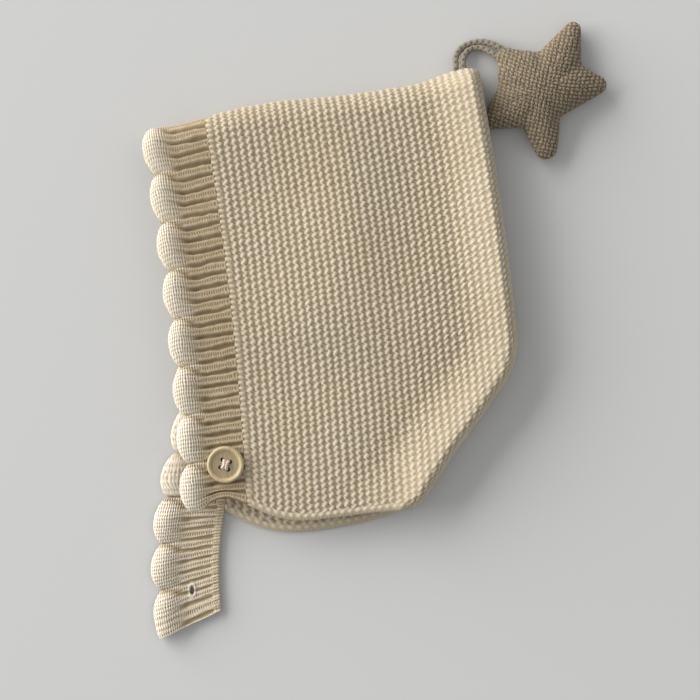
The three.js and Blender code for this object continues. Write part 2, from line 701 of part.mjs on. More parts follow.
function bonnet() {
  const group = new THREE.Group();
  const channel = solidOf(cordGeometry(CORD_DIAMETER + 2 * GAP));
  const hood = geometryOf(solidOf(hoodSolid()).subtract(channel));
  group.add(meshOf("hood", hood, ECRU_KNIT));
  group.add(meshOf("face_trim", faceTrim(), ECRU_TRIM));
  group.add(meshOf("chin_strap", chinStrap(), ECRU_TRIM));

  const button = meshOf("button", buttonGeometry(), BUTTON_RESIN);
  button.position.set(BUTTON_X, BUTTON_Y, BUTTON_BASE);
  group.add(button);
  const thread = meshOf("button_thread", threadGeometry(), THREAD_COTTON);
  thread.position.copy(button.position);
  group.add(thread);

  const star = geometryOf(solidOf(starGeometry()).subtract(channel));
  group.add(meshOf("star", star, TAUPE_WEAVE));
  group.add(meshOf("star_cord", cordGeometry(CORD_DIAMETER), TAUPE_WEAVE));
  return group;
}

// The part's origin is on the table, under the middle of its outline.
const part = new THREE.Group();
const laid = bonnet();
const extent = new THREE.Box3();
for (const piece of laid.children) {
  if (piece.name !== "star_cord") extent.expandByObject(piece, true);
}
laid.position.set(-(extent.min.x + extent.max.x) / 2, -(extent.min.y + extent.max.y) / 2, -extent.min.z);
part.add(laid);

export default part;
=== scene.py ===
# The looks of a knitted baby bonnet that lies on its side on a pale surface.
# Every knitted surface is a fine mesh on the same layout as the frame's solids, raised by its stitches.
# Lengths are millimetres in the layout below and become metres when a mesh is made.
import math

import bpy
import numpy as np
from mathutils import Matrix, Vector


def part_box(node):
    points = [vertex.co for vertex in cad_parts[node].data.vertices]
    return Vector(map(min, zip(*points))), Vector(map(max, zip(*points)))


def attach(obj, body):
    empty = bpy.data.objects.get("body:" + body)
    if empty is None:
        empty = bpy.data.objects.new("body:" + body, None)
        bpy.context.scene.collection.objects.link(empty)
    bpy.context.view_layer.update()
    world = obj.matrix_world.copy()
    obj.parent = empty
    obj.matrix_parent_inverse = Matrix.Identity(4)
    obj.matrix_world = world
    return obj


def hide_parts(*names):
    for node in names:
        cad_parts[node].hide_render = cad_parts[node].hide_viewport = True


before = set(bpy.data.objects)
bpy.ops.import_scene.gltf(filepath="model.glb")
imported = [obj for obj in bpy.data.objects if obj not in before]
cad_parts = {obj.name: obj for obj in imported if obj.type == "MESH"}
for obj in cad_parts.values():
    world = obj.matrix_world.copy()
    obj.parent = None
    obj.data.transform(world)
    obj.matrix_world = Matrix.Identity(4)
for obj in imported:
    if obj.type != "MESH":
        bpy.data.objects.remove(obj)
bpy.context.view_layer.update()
MM = 0.001
RNG = np.random.default_rng(11)

# Layout of the hood, as in the frame
FACE_LENGTH = 172.0
HOOD_DEPTH = 127.0
NECK_WIDTH = 73.0
HOOD_WALL = 3.0
HOOD_LEAN = 18.9
LEAN_BOW = 0.55
HOOD_LOFT = 21.5
EDGE_HEIGHT = 5.6
FOLD_ROUND = 10.0
SEAM_ROUND = 5.0
UNDER_ROUND = 5.0
BACK_ROLL = 6.5
BACK_ROLL_WIDTH = 27.0
HEM_FADE = 0.7
HEM_FADE_START = 0.85
HEM_FADE_TURN = 8.0
DENT_DEPTH = 1.6
FAR_SWING = 11.0
FAR_SWING_START = 124.0
FAR_SWING_SPREAD = 1.25
FAR_HEM = 6.0
FAR_HEM_START = 0.5

# How the cloth turns down at its edges: its share over the fold, how softly the turns at the two seams
# meet, and how much of the turn at the slanted seam goes across and down
TURN_OVER_FOLD = 0.8
TURN_CORNER = 4.0
TURN_ACROSS = 0.74
TURN_DOWN = 0.67

# Layout of the trim and the strap
TRIM_WIDTH = 29.3
STRAP_WIDTH = 31.3
SCALLOP_DEPTH = 5.0
SCALLOP_RISE = 4.2
FAR_RISE = 1.4
RIBS_PER_SCALLOP = 4
SCALLOPS_PER_SIDE = 8
STRAP_SCALLOPS = 3
STRAP_LENGTH = 51.5
STRAP_BOW = 2.0
STRAP_DRIFT = 2.6
STRAP_CORNER = 0.06
STRAP_END_SLANT = math.radians(24.5)
ARCH_HEIGHT = 4.0
FOLD_SLANT = math.radians(14.5)
UPPER_FOOT_SLANT = math.radians(8)
UNDER_TUCK = 0.8
FAR_TRIM_END = 0.965
BUTTONHOLE_IN = 15.5
BUTTONHOLE_DOWN = 42.0
GAP = 0.3

# Garter stitch, with its relief measured from a middle height, and how much it is raised toward its crests
# over the roll, smoother in shape and lighter in colour as painted light
RIDGE_PITCH = 3.33
STITCH_PITCH = 2.8
RIDGE_RELIEF = 0.82
INNER_RELIEF = 0.7
INNER_FADE = 2.6
YARN_MIDDLE = 0.55
LANE_SHIFT = 0.42
LANE_JITTER = 0.2
SMOOTHED_AND_PAINTED_LIGHT_SHARE = 0.3
SMOOTHED_AND_PAINTED_LIGHT_START = 7.0

# The bound-off band along the neck, from its edge in: its end, its beads, its roll, and its worn edge
BAND_END = 3.6
BAND_BEADS = 2.3
BAND_BEAD_HALF = 1.3
BAND_ROLL = 1.6
BAND_WORN = (1.1, 1.8)

# The linking chain by the trim, from the face edge in
CHAIN_END = 2.8
CHAIN_MIDDLE = 1.4
CHAIN_HALF = 1.6
CHAIN_PITCH = 2.4

# Ribs and plain stitches of the trim
FINE_ROW = 1.06
FINE_COLUMNS = 13
RIB_RELIEF = 1.05
RIB_HALF = 0.35
RIB_FADE = (0.66, 0.16)
PLAIN_RELIEF = 0.7
RIB_TOP_RELIEF = 0.5
FINE_MIDDLE = 0.6

# The hood's outline at places across: the fold's height, the foot's drop and the far hem's share
FOLD, FOOT, HEM = 1, 2, 3
NECK_SECTIONS = np.array([
    (0, 0.008, 1.0, 0.6), (0.16, 0.028, 1.03, 0.8), (0.33, 0.042, 1.042, 0.95),
    (0.54, 0.055, 1.034, 1.0), (0.8, 0.064, 1.02, 0.7), (1, 0.074, 1.012, 0),
])
BACK_SECTIONS = np.array([
    (0, 0.074, 1.012), (0.1, 0.079, 0.995), (0.22, 0.084, 0.945), (0.42, 0.093, 0.858),
    (0.63, 0.113, 0.777), (0.78, 0.129, 0.717), (0.93, 0.137, 0.65), (1, 0.131, 0.575),
])
# Share of the loft at places down: by the face, in the middle and by the back
LOFT_SECTIONS = np.array([
    (0, 0.8, 0.92, 0.96), (0.2, 0.8, 0.98, 1), (0.5, 0.8, 1, 1),
    (0.8, 0.8, 0.94, 0.97), (1, 0.8, 0.84, 0.9),
])
# Soft dents: place across and down, width, length and depth
DENTS = [
    (0.28, 0.5, 0.16, 0.1, -0.8), (0.36, 0.66, 0.2, 0.09, 0.8), (0.26, 0.16, 0.17, 0.1, 0.8),
    (0.48, 0.24, 0.12, 0.13, -0.6), (0.68, 0.2, 0.14, 0.12, 1), (0.6, 0.78, 0.15, 0.13, 0.9),
]


# Small helpers
def smooth(x):
    x = np.clip(x, 0, 1)
    return x * x * (3 - 2 * x)


def mix(a, b, share):
    return a + (b - a) * share


def quarter_round(x):
    return np.sqrt(np.maximum(0, 1 - (1 - np.clip(x, 0, 1)) ** 2))


def lookup(table, column, place):
    """A column of a table on a smooth curve through its rows, as the frame's source has it."""
    keys = table[:, 0]
    values = table[:, column]
    place = np.asarray(place, float)
    row = np.clip(np.searchsorted(keys, place, side="left") - 1, 0, len(keys) - 2)
    slopes = np.empty(len(keys))
    for i in range(len(keys)):
        before, after = max(0, i - 1), min(len(keys) - 1, i + 1)
        slopes[i] = (values[after] - values[before]) / (keys[after] - keys[before])
    span = keys[row + 1] - keys[row]
    t = np.clip((place - keys[row]) / span, 0, 1)
    bend = span * t * (1 - t) * ((1 - t) * slopes[row] - t * slopes[row + 1])
    return mix(values[row], values[row + 1], smooth(t)) + bend


# Soft random fields
def wander(shape, cells, seed):
    """Smooth noise from -1 to 1 over a grid, with about that many cells each way."""
    rng = np.random.default_rng(seed)
    coarse = rng.uniform(-1, 1, (cells[0] + 3, cells[1] + 3))
    a = np.linspace(0, cells[0], shape[0])
    b = np.linspace(0, cells[1], shape[1])
    ia, ib = a.astype(int), b.astype(int)
    fa, fb = smooth(a - ia)[:, None], smooth(b - ib)[None, :]
    low, high = (mix(coarse[np.ix_(ia, ib + k)], coarse[np.ix_(ia + 1, ib + k)], fa) for k in (0, 1))
    return mix(low, high, fb)


# The hood's outline
def edge_of(across, column):
    across = np.asarray(across, float)
    neck = lookup(NECK_SECTIONS, column, across / NECK_WIDTH)
    if column == HEM:
        return np.where(across > NECK_WIDTH, 0, neck)
    back = lookup(BACK_SECTIONS, column, (across - NECK_WIDTH) / (HOOD_DEPTH - NECK_WIDTH))
    return np.where(across > NECK_WIDTH, back, neck)


def fold_height(across):
    return FACE_LENGTH * edge_of(across, FOLD)


def foot_drop(across):
    return FACE_LENGTH * edge_of(across, FOOT)


def lean(drop):
    share = drop / FACE_LENGTH
    return HOOD_LEAN * ((1 + LEAN_BOW) * share - LEAN_BOW * share ** 2)


def swing(drop):
    reach = FAR_SWING_SPREAD * (FACE_LENGTH - FAR_SWING_START)
    return FAR_SWING * smooth((drop - FAR_SWING_START) / reach)


def edge_line(start, end, drop_at, steps=48):
    across = np.linspace(start, end, steps)
    drop = drop_at(across, np.linspace(0, 1, steps))
    return np.stack([across + lean(drop), -drop], -1)


FOLD_LINE = edge_line(0, HOOD_DEPTH, lambda a, s: -fold_height(a))
BACK_SEAM = edge_line(HOOD_DEPTH, HOOD_DEPTH, lambda a, s: mix(-fold_height(a), foot_drop(a), s))
SLANTED_SEAM = edge_line(HOOD_DEPTH, NECK_WIDTH, lambda a, s: foot_drop(a))


def lengths_along(points):
    return np.concatenate([[0], np.cumsum(np.linalg.norm(np.diff(points, axis=0), axis=1))])


def along_line(points, runs, run):
    """Points at the lengths in run on a line whose own points lie at the lengths in runs."""
    return np.stack([np.interp(run, runs, column) for column in points.T], -1)


def distance_to_line(x, y, line):
    nearest = np.full(x.shape, np.inf)
    for (ax, ay), (bx, by) in zip(line[:-1], line[1:]):
        length2 = (bx - ax) ** 2 + (by - ay) ** 2
        t = np.clip(((x - ax) * (bx - ax) + (y - ay) * (by - ay)) / length2, 0, 1)
        nearest = np.minimum(nearest, np.hypot(x - mix(ax, bx, t), y - mix(ay, by, t)))
    return nearest


def dent_at(across, drop):
    depth = np.zeros(np.shape(across))
    for place, down, wide, long, deep in DENTS:
        x = (across / HOOD_DEPTH - place) / wide
        y = (drop / FACE_LENGTH - down) / long
        depth = depth + DENT_DEPTH * deep * smooth(1 - np.hypot(x, y) / 2)
    return depth


def loft(across, along, drop, to_seams):
    def at(column):
        return (HOOD_LOFT - BACK_ROLL) * lookup(LOFT_SECTIONS, column, along)
    share = across / HOOD_DEPTH
    front = mix(at(1), at(2), smooth(share / 0.5))
    rear = mix(at(2), at(3), smooth((share - 0.5) / 0.5))
    roll = smooth(1 - to_seams / BACK_ROLL_WIDTH)
    at_neck = smooth((NECK_WIDTH + HEM_FADE_TURN - across) / (2 * HEM_FADE_TURN))
    loss = HEM_FADE * at_neck * smooth((along - HEM_FADE_START) / (1 - HEM_FADE_START))
    return np.where(share < 0.5, front, rear) + BACK_ROLL * roll * (1 - loss) - dent_at(across, drop)


def hood_surface(across, row, far, inner):
    """One side of a layer of the hood, on places across and rows from 0, the fold, to 1, the foot.

    Gives its points, and for each how far down it is, how deep inside the layer, how far from the seams,
    and how much further the cloth reaches there than its outline.
    """
    across, row = np.broadcast_arrays(across, row)
    inset = HOOD_WALL if inner else 0.0
    at = across * (HOOD_DEPTH - inset) / HOOD_DEPTH
    behind = across >= NECK_WIDTH - 1e-9
    top = -fold_height(at) + inset
    foot = foot_drop(at) - np.where(behind, inset, 0)
    drop = mix(top, foot, row)
    x = at + lean(drop)
    if far:
        drop = drop + FAR_HEM * edge_of(across, HEM) * smooth((row - FAR_HEM_START) / (1 - FAR_HEM_START))
        x = at + lean(drop) - swing(drop) * np.clip(1 - across / NECK_WIDTH, 0, 1)
    y = -drop
    to_back, to_slant = distance_to_line(x, y, BACK_SEAM), distance_to_line(x, y, SLANTED_SEAM)
    to_seams = np.minimum(to_back, to_slant)
    closed = (row < 1e-9) | (across > HOOD_DEPTH - 1e-6) | ((row > 1 - 1e-9) & behind)
    from_fold = np.where(closed, 0, np.maximum(0, distance_to_line(x, y, FOLD_LINE) - inset))
    from_seams = np.where(closed, 0, np.maximum(0, to_seams - inset))
    depth = np.minimum(from_fold, from_seams)
    if far:
        z = EDGE_HEIGHT - (EDGE_HEIGHT - inset) * quarter_round(depth / UNDER_ROUND)
        wrap = np.zeros(x.shape + (2,))
    else:
        height = loft(at, row, drop, to_seams) - inset - EDGE_HEIGHT
        at_fold, at_seams = quarter_round(from_fold / FOLD_ROUND), quarter_round(from_seams / SEAM_ROUND)
        z = EDGE_HEIGHT + height * at_fold * at_seams
        down = height * (1 - at_seams)
        over = TURN_OVER_FOLD * height * (1 - at_fold)
        slanted = smooth((to_back - to_slant) / TURN_CORNER + 0.5)
        wrap = np.stack([down * mix(1, TURN_ACROSS, slanted), down * TURN_DOWN * slanted - over], -1)
    return np.stack([x, y, z], -1), drop, depth, to_seams, wrap


# Placing the layout in the frame: the button's centre is known in both
BUTTON_DOWN = 154.0
BUTTON_IN = 8.3
BUTTON_DIAMETER = 16.5
button_low, button_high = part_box("button")
BUTTON_X, BUTTON_Y = ((button_low[k] + button_high[k]) / 2 for k in (0, 1))
BUTTON_CENTRE = np.array([float(lean(BUTTON_DOWN)) - BUTTON_IN, -BUTTON_DOWN, button_low[2] / MM])
SHIFT = np.array([BUTTON_X / MM - BUTTON_CENTRE[0], BUTTON_Y / MM + BUTTON_DOWN, 0.0])
TIP = np.array([HOOD_DEPTH + float(lean(-fold_height(HOOD_DEPTH))), float(fold_height(HOOD_DEPTH)), 0.0])


def metres(points):
    return (np.asarray(points, float) + SHIFT) * MM


# Meshes from grids
class Shell:
    """Grids of points gathered into one mesh, which carries the height of the stitches at each point."""

    def __init__(self):
        self.points = []
        self.relief = []
        self.faces = []
        self.loose = []
        self.count = 0

    def add(self, points, relief):
        rows, columns = points.shape[:2]
        index = np.arange(rows * columns).reshape(rows, columns) + self.count
        self.points.append(points.reshape(-1, 3))
        self.relief.append(np.broadcast_to(relief, (rows, columns)).reshape(-1))
        self.count += rows * columns
        return index

    def quads(self, index, up, left_out=None):
        a, b = index[:-1, :-1].ravel(), index[1:, :-1].ravel()
        c, d = index[1:, 1:].ravel(), index[:-1, 1:].ravel()
        faces = np.stack([a, b, c, d] if up else [d, c, b, a], -1)
        if left_out is not None:
            faces = faces[~left_out.ravel()]
        self.faces.append(faces)

    def object(self, name, material, at=(0, 0, 0), weld=None):
        points = metres(np.concatenate(self.points) + np.asarray(at, float))
        faces = np.concatenate(self.faces).tolist() + self.loose
        mesh = bpy.data.meshes.new(name)
        mesh.from_pydata(points.tolist(), [], faces)
        relief = mesh.attributes.new("relief", "FLOAT", "POINT")
        relief.data.foreach_set("value", np.concatenate(self.relief).astype(np.float32))
        mesh.polygons.foreach_set("use_smooth", np.ones(len(mesh.polygons), bool))
        obj = bpy.data.objects.new(name, mesh)
        bpy.context.scene.collection.objects.link(obj)
        mesh.materials.append(material)
        if weld:
            merge = obj.modifiers.new("weld", "WELD")
            merge.merge_threshold = weld
            apply_modifiers(obj)
        obj.data.validate()
        return obj


def apply_modifiers(obj):
    bpy.context.view_layer.objects.active = obj
    for other in bpy.context.selected_objects:
        other.select_set(False)
    obj.select_set(True)
    for modifier in list(obj.modifiers):
        bpy.ops.object.modifier_apply(modifier=modifier.name)


def finish_piece(obj, node):
    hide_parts(node)
    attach(obj, "root")
    return obj


def normals_of(points):
    """Unit normals of a grid of points, from its rows and columns."""
    along = np.gradient(points, axis=0)
    across = np.gradient(points, axis=1)
    normal = np.cross(along, across)
    return normal / np.maximum(np.linalg.norm(normal, axis=-1, keepdims=True), 1e-9)


# Materials
class Material:
    """A material whose nodes are each made with their settings and links in one call."""

    def __init__(self, name, inputs):
        self.data = bpy.data.materials.new(name)
        self.data.use_nodes = True
        self.shader = self.data.node_tree.nodes["Principled BSDF"]
        self.fill(self.shader, inputs)

    def fill(self, node, inputs):
        """Links each input to an output, or sets its value."""
        for name, value in inputs.items():
            if isinstance(value, bpy.types.NodeSocket):
                self.data.node_tree.links.new(value, node.inputs[name])
            else:
                node.inputs[name].default_value = value

    def add(self, kind, output, inputs, **settings):
        """Makes a node and gives its output of that name."""
        node = self.data.node_tree.nodes.new(kind)
        for name, value in settings.items():
            setattr(node, name, value)
        self.fill(node, inputs)
        return node.outputs[output]

    def relief(self):
        return self.add("ShaderNodeAttribute", "Fac", {}, attribute_name="relief")

    def place(self):
        return self.add("ShaderNodeTexCoord", "Object", {})

    def noise(self, place, scale, detail, roughness=0.5):
        return self.add("ShaderNodeTexNoise", "Fac", {
            "Vector": place, "Scale": scale, "Detail": detail, "Roughness": roughness})

    def spread(self, value, start, end=(0, 1)):
        return self.add("ShaderNodeMapRange", "Result", {
            "Value": value, "From Min": start[0], "From Max": start[1], "To Min": end[0], "To Max": end[1]})

    def multiply(self, colour, other, share=1.0):
        return self.add("ShaderNodeMix", "Result", {"Factor": share, "A": colour, "B": other},
                        data_type="RGBA", blend_type="MULTIPLY")

    def bump(self, height, strength, distance):
        return self.add("ShaderNodeBump", "Normal", {
            "Height": height, "Strength": strength, "Distance": distance})

    def ramp(self, value, first, last, *others):
        """Colours over a value, each given with its place."""
        node = self.data.node_tree.nodes.new("ShaderNodeValToRGB")
        stops = node.color_ramp.elements
        for stop, (place, colour) in zip(stops, (first, last)):
            stop.position = place
            stop.color = (*colour, 1)
        for place, colour in others:
            stops.new(place).color = (*colour, 1)
        self.fill(node, {"Fac": value})
        return node.outputs["Color"]


# Noise scales are per metre and bump distances in metres
FIBRE_SCALE = 2600.0
FIBRE_DISTANCE = 0.0003
DYE_SCALE = 38.0
GRAIN_SCALE = 900.0
GRAIN_DISTANCE = 0.0002


def fibre_material(name, valley, crest, tint, sheen, middle=None, low=-0.2):
    """Yarn: darker in the gaps between stitches, which is painted shade, lighter on their crests, with fine
    fibres and uneven dye.
    """
    made = Material(name, {
        "Roughness": 0.92, "Specular IOR Level": 0.25,
        "Sheen Weight": sheen, "Sheen Roughness": 0.45, "Sheen Tint": (1.0, 0.96, 0.9, 1),
    })
    middle = middle or [mix(a, b, 0.62) for a, b in zip(valley, crest)]
    height = made.spread(made.relief(), (low, 0.9))
    # The gaps between stitches are darker than the crests: painted shade
    colour = made.ramp(height, (0, valley), (1, crest), (0.55, middle))
    place = made.place()
    dye = made.spread(made.noise(place, DYE_SCALE, 3.0), (0.35, 0.75))
    fibres = made.noise(place, FIBRE_SCALE, 3.0, 0.7)
    flecks = made.spread(fibres, (0.3, 0.7), (0.86, 1.12))
    made.fill(made.shader, {
        "Base Color": made.multiply(made.multiply(colour, (*tint, 1), dye), flecks),
        "Normal": made.bump(fibres, 0.35, FIBRE_DISTANCE),
    })
    return made.data


def resin_material(name):
    """Satin resin with the faint cloudy grain of pale wood, darker where the relief is low: in the dish
    partly a darker finish and partly painted shade of the recess.
    """
    made = Material(name, {"Coat Weight": 0.15, "Coat Roughness": 0.3})
    drawn_out = made.add("ShaderNodeMapping", "Vector", {
        "Vector": made.place(), "Scale": (1.0, 0.18, 1.0), "Rotation": (0, 0, 0.5)})
    grain = made.noise(drawn_out, GRAIN_SCALE, 4.0)
    colour = made.ramp(grain, (0.3, (0.44, 0.335, 0.178)), (0.75, (0.6, 0.485, 0.29)))
    made.fill(made.shader, {
        # Low relief, in the dish, is darkened: partly painted shade of the recess
        "Base Color": made.multiply(colour, made.spread(made.relief(), (0, 1), (0.64, 1))),
        "Roughness": made.spread(grain, (0, 1), (0.32, 0.5)),
        "Normal": made.bump(grain, 0.12, GRAIN_DISTANCE),
    })
    return made.data


# For each yarn the first colour is the painted shade in the gaps between stitches, the second the colour on
# the crests
ECRU_KNIT = fibre_material(
    "ecru_knit", (0.165, 0.115, 0.062), (0.62, 0.545, 0.42), (0.94, 0.91, 0.88), 0.3,
    middle=(0.485, 0.405, 0.28), low=-0.1)
ECRU_RIBBING = fibre_material(
    "ecru_ribbing", (0.12, 0.084, 0.043), (0.93, 0.855, 0.73), (0.94, 0.92, 0.89), 0.3,
    middle=(0.42, 0.325, 0.2), low=-0.08)
TAUPE_KNIT = fibre_material(
    "taupe_knit", (0.05, 0.036, 0.022), (0.36, 0.285, 0.2), (0.88, 0.9, 0.86), 0.15)
TAUPE_CORD = fibre_material(
    "taupe_cord", (0.045, 0.036, 0.025), (0.255, 0.22, 0.168), (0.9, 0.92, 0.88), 0.15)
SEWING_THREAD = fibre_material(
    "sewing_thread", (0.4, 0.28, 0.22), (0.82, 0.68, 0.6), (0.96, 0.93, 0.9), 0.2)
BUTTON_RESIN = resin_material("button_resin")


# Camera, straight above. It comes before the cord.
PHOTO_MM_PER_PX = 0.45
PHOTO_SIZE = 700
BUTTON_PX = (226.5, 463.5)
CAMERA_HEIGHT = 0.9
FOCUS_HEIGHT = 0.006
SENSOR_WIDTH = 36
# The photograph's middle on the table, in metres
MIDDLE_X = BUTTON_X + (PHOTO_SIZE / 2 - BUTTON_PX[0]) * PHOTO_MM_PER_PX * MM
MIDDLE_Y = BUTTON_Y - (PHOTO_SIZE / 2 - BUTTON_PX[1]) * PHOTO_MM_PER_PX * MM


def add_camera():
    data = bpy.data.cameras.new("camera")
    camera = bpy.data.objects.new("camera", data)
    bpy.context.scene.collection.objects.link(camera)
    camera.location = (MIDDLE_X, MIDDLE_Y, CAMERA_HEIGHT)
    data.sensor_width = SENSOR_WIDTH
    width = PHOTO_SIZE * PHOTO_MM_PER_PX * MM
    data.lens = SENSOR_WIDTH * (CAMERA_HEIGHT - FOCUS_HEIGHT) / width
    bpy.context.scene.camera = camera


add_camera()

CORD_DIAMETER = 2.7
CORD_CREST = 0.12
CORD_RELIEF = 0.4
CORD_TWIST = 2.2
CORD_STEP = 0.28
CORD_SIDES = 28
# The cord's route from the star into the tip and back, measured from the tip
CORD_FROM_TIP = [
    (12.2, 8.4, 6.2), (9.4, 10.8, 5.6), (5.9, 12.7, 4.2), (1.8, 13.8, 2.6), (-2.6, 13.4, 1.7),
    (-6.4, 11.8, 1.6), (-9.1, 9.0, 2.4), (-10.2, 5.5, 4.2), (-10.1, 1.6, 5.5), (-11.1, -2.6, 5.9),
    (-13.6, -7.2, 6.1), (-15.0, -12.2, 6.2), (-13.0, -16.6, 6.2), (-8.8, -17.8, 6.2), (-5.2, -15.2, 6.2),
    (-4.2, -10.6, 6.2), (-5.0, -6.0, 6.1), (-6.1, -2.2, 5.9), (-6.8, 1.8, 5.5), (-6.7, 5.6, 4.2),
    (-5.0, 9.2, 2.7), (-1.7, 11.0, 1.9), (2.2, 10.9, 2.7), (5.2, 9.2, 4.0), (7.9, 7.4, 5.2),
    (10.4, 5.4, 5.9),
]


CURVE_STEPS = 24
# Not quite upright, so that no stretch of a tube runs along it
NEARLY_UP = [0.03, 0.02, 1.0]


def smooth_route(points, step):
    """Points at an even step on a smooth curve through the route, and how far along it they are."""
    points = np.asarray(points, float)
    padded = np.vstack([2 * points[0] - points[1], points, 2 * points[-1] - points[-2]])
    fine = []
    for i in range(1, len(padded) - 2):
        p0, p1, p2, p3 = padded[i - 1:i + 3]
        for t in np.linspace(0, 1, CURVE_STEPS, endpoint=False):
            fine.append(0.5 * (2 * p1 + (p2 - p0) * t + (2 * p0 - 5 * p1 + 4 * p2 - p3) * t ** 2
                               + (3 * p1 - p0 - 3 * p2 + p3) * t ** 3))
    fine.append(points[-1])
    fine = np.array(fine)
    run = lengths_along(fine)
    places = np.linspace(0, run[-1], max(2, int(run[-1] / step)))
    return along_line(fine, run, places), places


def close_rings(index):
    return np.concatenate([index, index[:, :1]], axis=1)


def add_fan(shell, ring, point, relief, up):
    """Closes a ring, whose first point comes again at its end, with triangles to a new point."""
    centre = shell.add(np.reshape(point, (1, 1, 3)), relief)[0, 0]
    for a, b in zip(ring[:-1], ring[1:]):
        shell.loose.append([centre, a, b] if up else [centre, b, a])


def add_tube(shell, route, radius_at, sides):
    """A round tube: radius_at(run, angle) gives its radius and the height of the stitch there."""
    points, run = route
    tangent = np.gradient(points, axis=0)
    tangent /= np.linalg.norm(tangent, axis=1, keepdims=True)
    side = np.cross(tangent, NEARLY_UP)
    side /= np.linalg.norm(side, axis=1, keepdims=True)
    up = np.cross(side, tangent)
    angle = np.linspace(0, 2 * math.pi, sides, endpoint=False)
    radius, relief = radius_at(run[:, None], angle[None, :])
    ring = side[:, None, :] * np.cos(angle)[None, :, None] + up[:, None, :] * np.sin(angle)[None, :, None]
    index = close_rings(shell.add(points[:, None, :] + ring * radius[:, :, None], relief))
    shell.quads(index, False)
    for end, first in ((0, True), (-1, False)):
        add_fan(shell, index[end], points[end], 0.0, first)


def braid(run, angle):
    """Two yarn columns wound past each other round the cord."""
    turn = run * CORD_TWIST
    height = np.maximum(np.cos(2 * angle + turn), np.cos(2 * angle - turn))
    height = np.clip(0.5 + 0.5 * height, 0, 1) ** 0.8
    return CORD_DIAMETER / 2 + CORD_CREST - CORD_RELIEF * (1 - height), height


def cord():
    route, run = smooth_route(TIP + np.array(CORD_FROM_TIP), CORD_STEP)
    shell = Shell()
    add_tube(shell, (route, run), braid, CORD_SIDES)
    piece = finish_piece(shell.object("star_cord_braid", TAUPE_CORD), "star_cord")


cord()


# Stitch patterns: each gives a height from about 0, in the gaps, to 1, on the crests
def yarn(distance, half_width):
    """Round top of a yarn at a distance from its middle line."""
    return np.sqrt(np.maximum(0, 1 - (distance / half_width) ** 2))


def garter(ridge, stitch, sway):
    """Garter stitch: a zigzag yarn down each ridge, with short bridges between the ridges."""
    lane = np.floor(ridge)
    u = ridge - lane
    phase = 2 * math.pi * (stitch + LANE_SHIFT * lane + sway)
    swell = 0.5 - 0.5 * np.cos(phase)
    middle = 0.5 + 0.17 * (np.sin(phase) + 0.3 * np.sin(2 * phase))
    crest = yarn(u - middle, 0.27 + 0.05 * swell) * (0.78 + 0.22 * swell)
    edge = np.minimum(u, 1 - u)
    bridge = yarn(edge, 0.5) * (0.14 + 0.14 * np.cos(phase + 2.2 * np.sign(u - 0.5)))
    return np.maximum(crest, bridge)


def fine_stitches(row, column):
    """Small knit stitches: slanted legs, with a dark dot where four stitches meet."""
    u = column - np.round(column)
    v = row + 0.35 * np.abs(u)
    leg = 0.72 + 0.28 * np.cos(2 * math.pi * v)
    dot = np.exp(-(u / 0.24) ** 2 - ((v - np.round(v - 0.5) - 0.5) / 0.3) ** 2)
    return leg * (1 - 0.9 * dot)


# The hood's two layers
def garter_layer(across, row, far, inner):
    """Points and stitch heights of one side of a layer."""
    points, drop, depth, to_seams, wrap = hood_surface(across[None, :], row[:, None], far, inner)
    shape = points.shape[:2]
    ridge = (across + wrap[..., 0]) / RIDGE_PITCH + 0.08 * wander(shape, (60, 40), 3 + inner)
    stitch = (drop + wrap[..., 1]) / STITCH_PITCH + 0.22 * wander(shape, (50, 36), 5 + inner)
    lanes = np.floor(ridge).astype(int)
    jitter = RNG.uniform(-LANE_JITTER, LANE_JITTER, lanes.max() + 3)
    height = garter(ridge, stitch, jitter[np.clip(lanes, 0, None)])
    height = height * (1 + 0.16 * wander(shape, (150, 90), 9 + inner))
    # A bound-off band ends the ridges at the neck
    at_neck = across < NECK_WIDTH
    to_hem = foot_drop(across) + (FAR_HEM * edge_of(across, HEM) if far else 0) - drop
    band = smooth((BAND_END - to_hem) / 0.8) * at_neck
    beads = yarn(to_hem - BAND_BEADS, BAND_BEAD_HALF) * (0.72 + 0.28 * np.cos(2 * math.pi * ridge))
    rolled = (0.42 + 0.1 * np.cos(4 * math.pi * ridge)) * smooth((BAND_ROLL - to_hem) / 0.5)
    height = mix(height, np.maximum(beads, rolled), band)
    # The ridge by the trim is a fuller linking chain
    fade = quarter_round(depth / INNER_FADE) if inner else 1.0
    if not inner:
        links = 0.64 + 0.36 * np.cos(2 * math.pi * drop / CHAIN_PITCH)
        links = links * yarn(across - CHAIN_MIDDLE, CHAIN_HALF)
        height = mix(height, links, smooth((CHAIN_END - across) / 0.6))
    # Over the roll by the seams the stitches are raised toward their crests: the knit is smoother there, and
    # its colour lighter, painted light for the light that falls on the roll
    smoothed_and_painted_light = smooth(1 - to_seams / BACK_ROLL_WIDTH) * smooth(to_seams / SMOOTHED_AND_PAINTED_LIGHT_START)
    height = mix(height, 1, SMOOTHED_AND_PAINTED_LIGHT_SHARE * smoothed_and_painted_light)
    amount = RIDGE_RELIEF * (INNER_RELIEF if inner else 1.0) * fade
    worn = BAND_WORN[0] * (1 - quarter_round(to_hem / BAND_WORN[1])) * at_neck
    normal = normals_of(points)
    up = 1 if far == inner else -1
    outward = np.where(normal[..., 2:] * up < 0, -normal, normal)
    lifted = points + outward * ((height - YARN_MIDDLE) * amount - worn)[..., None]
    if far and not inner:
        lifted[..., 2] = np.maximum(lifted[..., 2], 0)
    return lifted, height * fade + 0.5 * (1 - fade)


# How much closer the points lie by the back seam, and by the fold and the foot
CLOSER_AT_BACK = 0.75
CLOSER_AT_ENDS = 0.75


